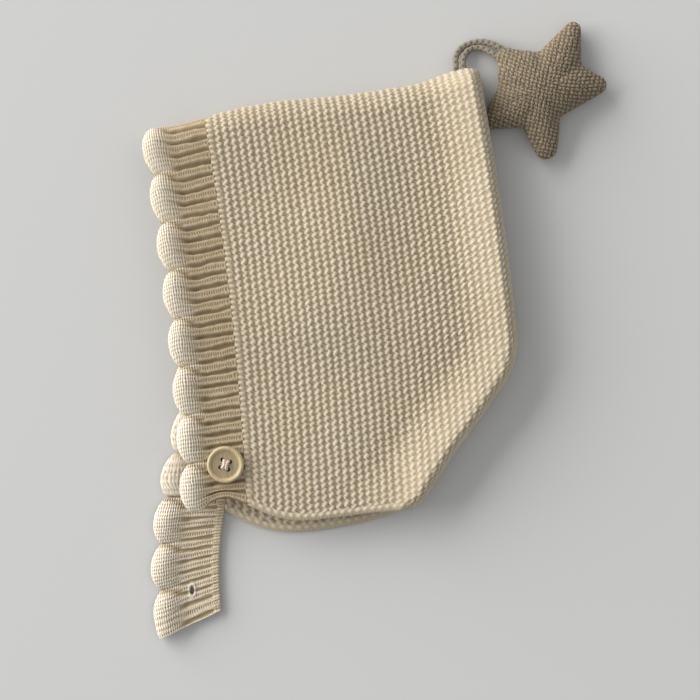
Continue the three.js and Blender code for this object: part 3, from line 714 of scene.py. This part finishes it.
def hood_places(count):
    """Places across, with one on the neck's corner: even, and closer by the back seam."""
    neck = int(round(count * NECK_WIDTH / HOOD_DEPTH))
    back = np.linspace(NECK_WIDTH, HOOD_DEPTH, count - neck)
    share = (HOOD_DEPTH - back) / (HOOD_DEPTH - NECK_WIDTH)
    bent = HOOD_DEPTH - (HOOD_DEPTH - back) * (1 - CLOSER_AT_BACK * (1 - share) ** 6)
    return np.concatenate([np.linspace(0, NECK_WIDTH, neck, endpoint=False), bent])


def hood_rows(count):
    """Rows down, closer by the fold and the foot."""
    even = np.linspace(0, 1, count)
    return even - CLOSER_AT_ENDS * (even * (1 - even) ** 20 - (1 - even) * even ** 20)


def join(shell, fine, coarse, step, up):
    """Joins a fine edge to a coarse one that has a point for every few of its own."""
    for i in range(len(fine) - 1):
        a, b = coarse[i // step], coarse[(i + 1) // step]
        face = [fine[i], a, b, fine[i + 1]] if a != b else [fine[i], a, fine[i + 1]]
        shell.loose.append(face if up else face[::-1])


def close_layer(shell, outer, inner, up, left_out=None):
    """Faces of two grids, of which the inner one may be coarser, and of the edges between them."""
    shell.quads(outer, up, left_out)
    shell.quads(inner, not up, left_out)
    steps = [(outer.shape[k] - 1) // (inner.shape[k] - 1) for k in (0, 1)]
    for edge, k, same in ((np.s_[:, 0], 0, True), (np.s_[:, -1], 0, False),
                          (np.s_[0], 1, False), (np.s_[-1], 1, True)):
        join(shell, outer[edge], inner[edge], steps[k], up == same)


def hood_layer(name, far, counts, step):
    """A layer of the hood. Its inner side has a point for every few of the outer one's."""
    across = hood_places(counts[0])
    row = hood_rows(counts[1])
    shell = Shell()
    outer = shell.add(*garter_layer(across, row, far, False))
    inner = shell.add(*garter_layer(across[::step], row[::step], far, True))
    close_layer(shell, outer, inner, not far)
    finish_piece(shell.object(name, ECRU_KNIT), "hood")


UPPER_COUNTS, UNDER_COUNTS = (((253, 361), (187, 259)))
hood_layer("hood_upper_layer", False, UPPER_COUNTS, 4)
hood_layer("hood_under_layer", True, UNDER_COUNTS, 1)


# The trim and the strap
# Share of the knit's thickness at places across the trim, from the hood to the scallops' edge
TRIM_THICKNESS = np.array([
    (0, 1), (0.08, 1), (0.45, 1), (0.56, 1), (0.64, 0.97), (0.74, 0.93), (0.84, 0.9), (0.95, 0.8), (1, 0.6),
])


def face_line(far):
    """The hood's face edge from the fold to the foot: outer and inner points and the length run so far."""
    row = 0.5 - 0.5 * np.cos(math.pi * np.linspace(0, 1, 161))
    outer, inner = (hood_surface(np.zeros(1), row[:, None], far, side)[0][:, 0] for side in (False, True))
    return outer, inner, lengths_along((outer + inner) / 2)


def on_line(line, run):
    outer, inner, runs = line
    return [along_line(side, runs, run) for side in (outer, inner)]


def ribbing(turn, a, run, painted_rib_shade, deep, seed):
    """Height of the trim's stitches, ribbed and then plain, and how far they stand out.

    The turn counts scallops along the trim, and a and run are the share and the length across it. The trim
    from the hood out toward the scallops is darkened by a factor, painted shade as if the puffed scallops
    shaded it, and deep is the share of their full depth.
    """
    shape = np.broadcast(turn, a).shape
    rib = turn * RIBS_PER_SCALLOP
    rib = rib + 0.07 * wander(shape, (60, 5), seed) + 0.025 * wander(shape, (130, 16), seed + 3)
    wave = -np.cos(2 * math.pi * rib)
    flat_top = smooth((wave + 0.98 + 0.2 * wander(shape, (70, 8), seed + 7)) / 0.8)
    ribbed = smooth((RIB_FADE[0] - a) / RIB_FADE[1])
    columns = np.abs(rib - np.floor(rib) - 0.5) / RIB_HALF
    row = run / FINE_ROW + 0.3 * wander(shape, (90, 12), seed + 1)
    leg = row + 0.5 * np.minimum(columns, 1)
    leg = yarn(leg - np.floor(leg) - 0.5, 0.5)
    between = yarn(columns, 0.4) * (0.5 + 0.5 * np.cos(2 * math.pi * row))
    top = (0.5 + 0.5 * leg) * (1 - 0.8 * between) * (1 + 0.12 * wander(shape, (190, 30), seed + 5))
    ribs = mix(0.5 * (1 - deep) + 0.16 * leg, 0.2 + 0.8 * top, flat_top)
    plain = fine_stitches(row, turn * FINE_COLUMNS + 0.12 * wander(shape, (80, 12), seed + 2))
    # The trim is darkened from the hood out toward the scallops: painted shade
    height = mix(0.34 + 0.66 * plain, ribs, ribbed) * mix(painted_rib_shade, 1, smooth((a - 0.42) / 0.45))
    uneven = 0.85 + 0.3 * wander(shape, (64, 6), seed + 9)
    valley = RIB_RELIEF * deep * uneven * (flat_top - 1) * smooth((0.86 - a) / 0.4)
    rib_lift = RIB_TOP_RELIEF * (top - FINE_MIDDLE) * flat_top
    return height, valley + mix(PLAIN_RELIEF * (plain - FINE_MIDDLE), rib_lift, ribbed)


# The crease between scallops, and how far the ribbing runs over the gap to the hood, where it is sewn on
CREASE_WIDTH = 0.06
CREASE_DEPTH = 0.75
CREASE_SHADE = 0.32
SEWN_OVERLAP = 0.6


def trim_surface(line, turn, rise, slant, width, columns, side, front, painted_rib_shade, seed, deep=1.0, shift=0.0):
    """Points, stitch heights and lengths across of one side of the trim, at stations and places across."""
    outer, inner = line
    out = outer - inner
    thickness = np.linalg.norm(out, axis=1, keepdims=True)
    out = out / thickness
    a = columns[None, :]
    turn = turn[:, None]
    full = np.abs(np.sin(math.pi * turn)) ** 0.6
    reach = np.stack([-np.cos(slant), -np.sin(slant), np.zeros_like(slant)], -1)
    run = (width[:, None] - SCALLOP_DEPTH * (1 - full) * a ** 2) * a
    swell = smooth((a - 0.44) / 0.4) * (1 - 0.75 * (1 - quarter_round((1 - a) / 0.2)))
    thin = thickness * (1 - lookup(TRIM_THICKNESS, 1, a)) / 2
    puff = rise[:, None] * swell * mix(0.12, 1, full)
    height, lift = ribbing(turn, a, run, painted_rib_shade, deep, seed)
    # Each scallop tucks under the one before it in a short arched crease, which is also painted darker:
    # painted shade
    phase = turn - np.round(turn)
    crease_at = 0.03 + 0.16 * (1 - np.clip((a - 0.6) / 0.4, 0, 1)) ** 2
    crease = np.exp(-((phase - crease_at) / CREASE_WIDTH) ** 2) * smooth((a - 0.5) / 0.12)
    lift = lift - CREASE_DEPTH * crease
    height = height * (1 - CREASE_SHADE * crease)
    # One side shows the ribs and the other what lies behind them
    front = (front if side == "outer" else 1 - front)[:, None]
    behind = -0.5 * RIB_RELIEF - 0.6 * lift
    lift = mix(behind, lift, front)
    height = mix(0.25 + 0.6 * (1 - height), height, front)
    base, offset = (outer, puff - thin + lift) if side == "outer" else (inner, puff + thin - lift)
    points = base[:, None, :] + out[:, None, :] * offset[..., None] + reach[:, None, :] * run[..., None]
    points[..., 0] += -GAP + SEWN_OVERLAP * (1 - smooth(a / 0.06))
    points[..., 1] += shift
    points[..., 2] = np.maximum(points[..., 2], 0)
    return points, height, run


def face_trim(stations, across):
    """The trim from the near foot up to the fold, and round it down the far side to the strap."""
    near, far = face_line(False), face_line(True)
    columns = np.linspace(0, 1, across)
    parts = []
    share = np.linspace(1, 0, stations[0])
    arch = ARCH_HEIGHT * smooth((share - 0.94) / 0.06)
    parts.append(dict(
        line=on_line(near, near[2][-1] * share),
        turn=SCALLOPS_PER_SIDE * share,
        rise=np.full(len(share), SCALLOP_RISE),
        slant=mix(FOLD_SLANT, UPPER_FOOT_SLANT, share),
        width=np.full(len(share), TRIM_WIDTH),
        shift=arch[:, None] * np.sin(math.pi * np.clip(columns[None, :] / 0.75, 0, 1)),
        front=np.ones(len(share)),
        painted_rib_shade=0.54,
        seed=20,
    ))
    share = np.linspace(0, 1, stations[1])[1:]
    length = far[2][-1] * FAR_TRIM_END - GAP
    parts.append(dict(
        line=on_line(far, length * share),
        turn=SCALLOPS_PER_SIDE * share,
        rise=-FAR_RISE * smooth(share * SCALLOPS_PER_SIDE),
        slant=mix(FOLD_SLANT, 0, share),
        width=mix(TRIM_WIDTH - UNDER_TUCK, STRAP_WIDTH, smooth((share - 0.65) / 0.25)),
        front=1 - smooth(share * SCALLOPS_PER_SIDE),
        painted_rib_shade=0.65,
        seed=30,
    ))
    shell = Shell()
    layer = []
    for side, step in (("outer", 1), ("inner", 2)):
        grids = [trim_surface(columns=columns, side=side, **part) for part in parts]
        points, relief = (np.concatenate([grid[k] for grid in grids])[::step, ::step] for k in (0, 1))
        layer.append(shell.add(points, relief))
    close_layer(shell, *layer, True)
    finish_piece(shell.object("face_trim_ribbing", ECRU_RIBBING), "face_trim")


# The strap's plain edge: its width, its stitches along and across, and how deep its edge is worn
STRAP_BAND = 3.6
STRAP_BAND_STITCH = (1.3, 1.5)
STRAP_BAND_WORN = (1.2, 1.4)
# The buttonhole: half its width and length, and its raised lip
BUTTONHOLE_HALF = (0.95, 2.0)
LIP_PLACE = 1.55
LIP_WIDTH = 0.45
LIP_RISE = 0.5


def chin_strap(stations, across):
    """The strap runs on from the far end of the trim."""
    far = face_line(True)
    start = on_line(far, np.array([far[2][-1] * FAR_TRIM_END]))
    share = np.linspace(0, 1, stations)
    step = np.stack([-(STRAP_DRIFT * share + STRAP_BOW * np.sin(math.pi * share)), -STRAP_LENGTH * share,
                     np.zeros(stations)], -1)
    part = dict(
        line=[start[0] + step, start[1] + step],
        turn=STRAP_SCALLOPS * share * (1 - STRAP_CORNER * smooth((share - 0.8) / 0.2)),
        rise=-mix(FAR_RISE, SCALLOP_RISE, smooth(share * STRAP_SCALLOPS * 2)),
        slant=STRAP_END_SLANT * share,
        width=np.full(stations, STRAP_WIDTH),
        columns=np.linspace(0, 1, across),
        front=np.zeros(stations),
        painted_rib_shade=0.72,
        deep=0.55,
        seed=40,
    )
    shell = Shell()
    layer = []
    hole = None
    for side in ("outer", "inner"):
        points, height, run = trim_surface(side=side, **part)
        # The plain edge: a narrow band of small stitches that run along the strap
        band = smooth((STRAP_BAND - run) / 0.8)
        down = (STRAP_LENGTH * share)[:, None]
        small = fine_stitches(down / STRAP_BAND_STITCH[0], run / STRAP_BAND_STITCH[1])
        height = mix(height, 0.36 + 0.36 * small, band)
        worn = STRAP_BAND_WORN[0] * (1 - quarter_round(run / STRAP_BAND_WORN[1]))
        lift = band * (0.15 + 0.3 * (small - 0.5)) - worn
        sign = 1 if side == "outer" else -1
        points[..., 2] -= sign * lift
        # The buttonhole: a slit with a slightly raised edge, placed on the outer side
        if hole is None:
            away = points[..., :2] - (start[0][0][:2] + np.array([-BUTTONHOLE_IN, -BUTTONHOLE_DOWN]))
            hole = np.hypot(away[..., 0] / BUTTONHOLE_HALF[0], away[..., 1] / BUTTONHOLE_HALF[1])
        lip = np.exp(-((hole - LIP_PLACE) / LIP_WIDTH) ** 2)
        points[..., 2] -= sign * LIP_RISE * lip
        height = mix(height, 0.8, 0.6 * lip)
        points[..., 2] = np.maximum(points[..., 2], 0)
        layer.append(shell.add(points, height))
    cells = (hole[:-1, :-1] + hole[1:, :-1] + hole[1:, 1:] + hole[:-1, 1:]) / 4 < 1
    close_layer(shell, *layer, True, cells)
    # Walls of the buttonhole
    outer, inner = layer
    for i, j in zip(*np.nonzero(cells)):
        corners = [(i, j), (i + 1, j), (i + 1, j + 1), (i, j + 1)]
        beside = [(i, j - 1), (i + 1, j), (i, j + 1), (i - 1, j)]
        for k in range(4):
            if not cells[beside[k]]:
                a, b = corners[k], corners[(k + 1) % 4]
                shell.loose.append([outer[a], outer[b], inner[b], inner[a]])
    finish_piece(shell.object("chin_strap_ribbing", ECRU_RIBBING), "chin_strap")


TRIM_COUNTS, STRAP_COUNTS = ((((481, 321), 97), (201, 113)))
face_trim(*TRIM_COUNTS)
chin_strap(*STRAP_COUNTS)


# The button and its thread
BUTTON_THICKNESS = 3.2
BUTTON_DISH_DEPTH = 1.0
BUTTON_RIM_WIDTH = 1.9
BUTTON_HOLE = 1.9
BUTTON_HOLE_PITCH = 3.6
BUTTON_TURN = math.radians(-15)
BUTTON_SIDES = 96
BUTTON_STEP = 0.16
HOLE_SIDES = 28
HOLE_ENDS = (-2.0, 6.0)
SHARP_ANGLE = math.radians(40)
THREAD_RADIUS = 0.48
THREAD_RELIEF = 0.06
THREAD_TWIST = 5.5
THREAD_STEP = 0.1
THREAD_SIDES = 12


def revolve(profile, sides):
    """A closed mesh from a profile of radius, height and relief that starts and ends on the axis."""
    angle = np.linspace(0, 2 * math.pi, sides, endpoint=False)
    shell = Shell()
    rings = np.array(profile[1:-1])
    grid = np.stack([
        rings[:, None, 0] * np.cos(angle)[None, :],
        rings[:, None, 0] * np.sin(angle)[None, :],
        np.repeat(rings[:, 1][:, None], sides, 1),
    ], -1)
    index = close_rings(shell.add(grid, rings[:, 2][:, None]))
    shell.quads(index, False)
    for end, up in ((0, False), (-1, True)):
        _, height, relief = profile[end]
        add_fan(shell, index[end], (0.0, 0.0, height), relief, up)
    return shell


def button_profile():
    """Half a section through the button, from the middle of its back round the rim to that of its dish."""
    radius = BUTTON_DIAMETER / 2
    dish = radius - BUTTON_RIM_WIDTH
    floor = BUTTON_THICKNESS - BUTTON_DISH_DEPTH
    rim = [
        (radius - 1.2, 0, 0.4), (radius - 0.35, 0.35, 0.5), (radius, 1.3, 0.7), (radius, 2.0, 0.9),
        (radius - 0.3, 2.85, 1), (radius - 0.95, BUTTON_THICKNESS, 1), (dish + 0.15, 2.8, 0.75),
        (dish - 0.25, 2.35, 0.25), (dish - 1.1, floor, 0.0), (2.6, floor, 0.0), (0.8, floor, 0.05),
    ]
    fine, _ = smooth_route(rim, BUTTON_STEP)
    fine[:, 1] = np.maximum(fine[:, 1], 0)
    return [(0, 0, 0.4), *fine, (0, floor, 0.0)]


def button():
    obj = revolve(button_profile(), BUTTON_SIDES).object("button_disc", BUTTON_RESIN, at=BUTTON_CENTRE)
    bores = Shell()
    radius = BUTTON_HOLE_PITCH / math.sqrt(2)
    turn = np.linspace(0, 2 * math.pi, HOLE_SIDES, endpoint=False)
    for i in range(4):
        angle = BUTTON_TURN + math.radians(45 + 90 * i)
        ring = np.stack([radius * math.cos(angle) + BUTTON_HOLE / 2 * np.cos(turn),
                         radius * math.sin(angle) + BUTTON_HOLE / 2 * np.sin(turn)], -1)
        grid = np.stack([np.column_stack([ring, np.full(HOLE_SIDES, z)]) for z in HOLE_ENDS])
        index = bores.add(grid, 0.0)
        bores.loose.append([int(k) for k in index[0][::-1]])
        bores.loose.append([int(k) for k in index[1]])
        bores.quads(close_rings(index), False)
    tool = bores.object("bores", BUTTON_RESIN, at=BUTTON_CENTRE)
    cut = obj.modifiers.new("holes", "BOOLEAN")
    cut.operation = "DIFFERENCE"
    cut.solver = "EXACT"
    cut.object = tool
    apply_modifiers(obj)
    bpy.data.objects.remove(tool)
    obj.data.set_sharp_from_angle(angle=SHARP_ANGLE)
    finish_piece(obj, "button")


def ply(run, angle):
    """Three plies twisted round each other."""
    height = 0.5 + 0.5 * np.cos(3 * angle + THREAD_TWIST * run)
    return THREAD_RADIUS - THREAD_RELIEF * (1 - height), height


def thread():
    """Two stitches side by side, each of a few strands that draw together over the dish."""
    top = BUTTON_THICKNESS - BUTTON_DISH_DEPTH
    half = BUTTON_HOLE_PITCH / 2
    cos, sin = math.cos(BUTTON_TURN), math.sin(BUTTON_TURN)
    turn = np.array([[cos, -sin], [sin, cos]])
    shell = Shell()
    for side in (-1, 1):
        for k in (-1, 0, 1):
            lift = 0.3 if k == 0 else 0.0
            middle = side * 0.5 + 0.36 * k
            ends = side * half * 0.54 + 0.34 * k
            between = mix(ends, middle, 0.4)
            points = np.array([
                (ends, half + 0.15, 0.5), (ends, half + 0.05, top - 0.2),
                (between, half * 0.72, top + 0.5 + lift), (middle, 0.1 * k, top + 0.75 + lift),
                (between, -half * 0.72, top + 0.5 + lift),
                (ends, -half - 0.05, top - 0.2), (ends, -half - 0.15, 0.5),
            ])
            points[:, :2] = points[:, :2] @ turn.T
            add_tube(shell, smooth_route(points, THREAD_STEP), ply, THREAD_SIDES)
    obj = shell.object("button_stitches", SEWING_THREAD, at=BUTTON_CENTRE)
    finish_piece(obj, "button_thread")


button()
thread()


# The star: two woven faces sewn round the edge and stuffed
STAR_RADIUS = 31.0
STAR_LOFT = 15.0
STAR_SEAM_HEIGHT = 5.5
# Each arm's direction, reach and roundness, and the direction and reach of the notch after it
STAR_ARMS = [
    (6, 0.977, 0.14, 32, 0.71), (61.3, 1.13, 0.116, 91.5, 0.558), (135, 0.823, 0.16, 173, 0.594),
    (211, 0.96, 0.13, 246.6, 0.571), (276.3, 1.0, 0.168, 308.2, 0.481),
]
STAR_MIDDLE = TIP[:2] + STAR_RADIUS * np.array([0.887, -0.284])
STAR_UNDERSIDE = 1.6
STAR_CREASE_WIDTH = 2.4
STAR_CREASE_DEPTH = 0.13
STAR_WELD = 0.00002
STUFFING_STEPS = 2500
WEAVE_PITCH = (1.95, 1.65)
WEAVE_RELIEF = 0.55
WEAVE_MIDDLE = 0.6
WEAVE_TURN = math.radians(13)


def polar(reach, angle):
    return np.array([reach * math.cos(math.radians(angle)), reach * math.sin(math.radians(angle))])


def star_outline(count):
    points = []
    for i, (angle, reach, round_, notch_angle, notch_reach) in enumerate(STAR_ARMS):
        radius = STAR_RADIUS * round_
        middle = polar(STAR_RADIUS * reach - radius, angle)
        before = STAR_ARMS[i - 1]
        start = polar(STAR_RADIUS * before[4], before[3])
        end = polar(STAR_RADIUS * notch_reach, notch_angle)
        tip = [middle + polar(radius, angle + k) for k in np.linspace(-80, 80, 9)]
        side = [mix(start, tip[0], k) for k in (0, 0.3, 0.65)]
        back = [mix(tip[-1], end, k) for k in (0.35, 0.7)]
        points += side + tip + back
    loop = np.array(points + points[:1])
    run = lengths_along(loop)
    line = along_line(loop, run, np.linspace(0, run[-1], count, endpoint=False))
    # The seam turns each corner softly
    for _ in range(int(count / 60)):
        line = (np.roll(line, 1, 0) + 2 * line + np.roll(line, -1, 0)) / 4
    return line


def inside(points, loop):
    """Which points lie inside a closed loop."""
    x, y = points[..., 0], points[..., 1]
    result = np.zeros(x.shape, bool)
    for (ax, ay), (bx, by) in zip(loop, np.roll(loop, -1, 0)):
        crosses = (ay > y) != (by > y)
        if ay != by:
            result ^= crosses & (x < (bx - ax) * (y - ay) / (by - ay) + ax)
    return result


def stuffed_height(loop, cells=150):
    """How high an even pressure pushes a face that is held at the loop, from 0 to 1, on a square grid."""
    side = np.linspace(-1.2 * STAR_RADIUS, 1.2 * STAR_RADIUS, cells)
    grid = np.stack(np.meshgrid(side, side, indexing="ij"), -1)
    mask = inside(grid, loop)
    f = np.zeros((cells, cells))
    step2 = (side[1] - side[0]) ** 2
    for _ in range(STUFFING_STEPS):
        f[1:-1, 1:-1] = (f[:-2, 1:-1] + f[2:, 1:-1] + f[1:-1, :-2] + f[1:-1, 2:] + step2) / 4
        f[~mask] = 0
    return side, f / f.max()


def weave(x, y):
    """Basket weave: strands that pass over and under each other."""
    u, v = x / WEAVE_PITCH[0], y / WEAVE_PITCH[1]
    warp = (np.floor(u) + np.floor(v)) % 2
    du, dv = u - np.floor(u) - 0.5, v - np.floor(v) - 0.5
    over = yarn(dv + 0.3 * du, 0.36) * (0.35 + 0.65 * np.cos(math.pi * du * 0.85))
    under = yarn(du + 0.3 * dv, 0.34) * (0.3 + 0.55 * np.cos(math.pi * dv * 0.85))
    return np.where(warp > 0.5, over, under)


def star(sides, rings):
    """The star's upper face and underside, on rings of points that shrink from the seam to the middle."""
    loop = star_outline(sides)
    side, f = stuffed_height(loop)
    top = STAR_LOFT - STAR_SEAM_HEIGHT
    shell = Shell()
    for face, count in ((1, rings[0]), (-1, rings[1])):
        share = np.sin(0.5 * math.pi * np.linspace(0, 1, count + 1)[1:])
        plan = loop[None, :, :] * share[:, None, None]
        cell = np.clip((plan - side[0]) / (side[1] - side[0]), 0, len(side) - 1.001)
        ix, iy = cell[..., 0].astype(int), cell[..., 1].astype(int)
        fx, fy = cell[..., 0] - ix, cell[..., 1] - iy
        level = mix(mix(f[ix, iy], f[ix + 1, iy], fx), mix(f[ix, iy + 1], f[ix + 1, iy + 1], fx), fy)
        rise = np.sqrt(np.clip(level, 0, 1)) * (share[:, None] < 1)
        # Creases run in from the inner corners
        reach = np.hypot(plan[..., 0], plan[..., 1])
        direction = np.degrees(np.arctan2(plan[..., 1], plan[..., 0]))
        crease = np.zeros(reach.shape)
        for _, _, _, notch_angle, notch_reach in STAR_ARMS:
            off = np.abs((direction - notch_angle + 180) % 360 - 180)
            beside = np.radians(np.minimum(off, 90)) * reach
            near = smooth((reach / (STAR_RADIUS * notch_reach) - 0.25) / 0.6)
            crease = crease + near * np.exp(-(beside / STAR_CREASE_WIDTH) ** 2)
        rise = rise * (1 - STAR_CREASE_DEPTH * np.clip(crease, 0, 1))
        along = plan[..., 0] * math.cos(WEAVE_TURN) - plan[..., 1] * math.sin(WEAVE_TURN)
        down = plan[..., 0] * math.sin(WEAVE_TURN) + plan[..., 1] * math.cos(WEAVE_TURN)
        bend = 0.6 * np.sin(along / 10 + down / 23) + 0.35 * np.sin(down / 7 + 1)
        uneven = 0.4 * wander(along.shape, (70, 32), 51)
        height = weave(along + bend + uneven, down + bend - 0.02 * along ** 2 / 3 + uneven)
        y = STAR_MIDDLE[1] + plan[..., 1]
        x = np.maximum(STAR_MIDDLE[0] + plan[..., 0], HOOD_DEPTH + lean(-y) + 2 * GAP)
        if face > 0:
            z = STAR_SEAM_HEIGHT + top * rise
        else:
            z = np.maximum(0.25, STAR_SEAM_HEIGHT - STAR_UNDERSIDE * top * rise)
        points = np.stack([x, y, z], -1)
        looped = np.concatenate([points[:, -1:], points, points[:, :1]], axis=1)
        normal = normals_of(looped)[:, 1:-1]
        normal = np.where(normal[..., 2:] * face < 0, -normal, normal)
        lift = WEAVE_RELIEF * (height - WEAVE_MIDDLE) * (share[:, None] < 1)
        points = points + normal * lift[..., None]
        points[..., 2] = np.maximum(points[..., 2], 0)
        index = close_rings(shell.add(points, height))
        shell.quads(index, face > 0)
        peak = STAR_LOFT if face > 0 else 0.0
        add_fan(shell, index[0], (*STAR_MIDDLE, peak - 0.1 * face), 0.6, face > 0)
    obj = shell.object("star_weave", TAUPE_KNIT, weld=STAR_WELD)
    finish_piece(obj, "star")


STAR_COUNTS = ((480, (100, 45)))
star(*STAR_COUNTS)


# Floor and light. The key light's direction is its turn and its height, in degrees
KEY_FROM = (152, 22)
KEY_DISTANCE = 4.5
KEY_SIZE = (6.0, 3.5)
KEY_POWER = 395
KEY_COLOUR = (1.0, 0.985, 0.965)
ROOM_LIGHT = 0.525
ROOM_COLOUR = (0.97, 0.985, 1.0, 1)
FLOOR_SIZE = 6
FLOOR_LEVEL = -0.0001
FLOOR_COLOUR = (0.575, 0.573, 0.563, 1)


def add_light():
    """A soft window from the upper left, a pale room and a pale floor."""
    bpy.ops.mesh.primitive_plane_add(size=FLOOR_SIZE, location=(MIDDLE_X, MIDDLE_Y, FLOOR_LEVEL))
    floor = bpy.context.object
    floor.name = "floor"
    pale = Material("pale_floor", {
        "Base Color": FLOOR_COLOUR, "Roughness": 0.75, "Specular IOR Level": 0.2})
    floor.data.materials.append(pale.data)
    key = bpy.data.lights.new("key", "AREA")
    key.shape = "RECTANGLE"
    key.size, key.size_y = KEY_SIZE
    key.energy = KEY_POWER
    key.color = KEY_COLOUR
    lamp = bpy.data.objects.new("key", key)
    bpy.context.scene.collection.objects.link(lamp)
    turn, height = math.radians(KEY_FROM[0]), math.radians(KEY_FROM[1])
    level = math.cos(height)
    offset = Vector((math.cos(turn) * level, math.sin(turn) * level, math.sin(height)))
    lamp.location = Vector((MIDDLE_X, MIDDLE_Y, 0)) + offset * KEY_DISTANCE
    lamp.rotation_euler = (-offset).to_track_quat("-Z", "Y").to_euler()
    world = bpy.data.worlds.new("room")
    world.use_nodes = True
    background = world.node_tree.nodes["Background"]
    background.inputs["Color"].default_value = ROOM_COLOUR
    background.inputs["Strength"].default_value = ROOM_LIGHT
    bpy.context.scene.world = world
    bpy.context.scene.view_settings.view_transform = "Standard"


add_light()
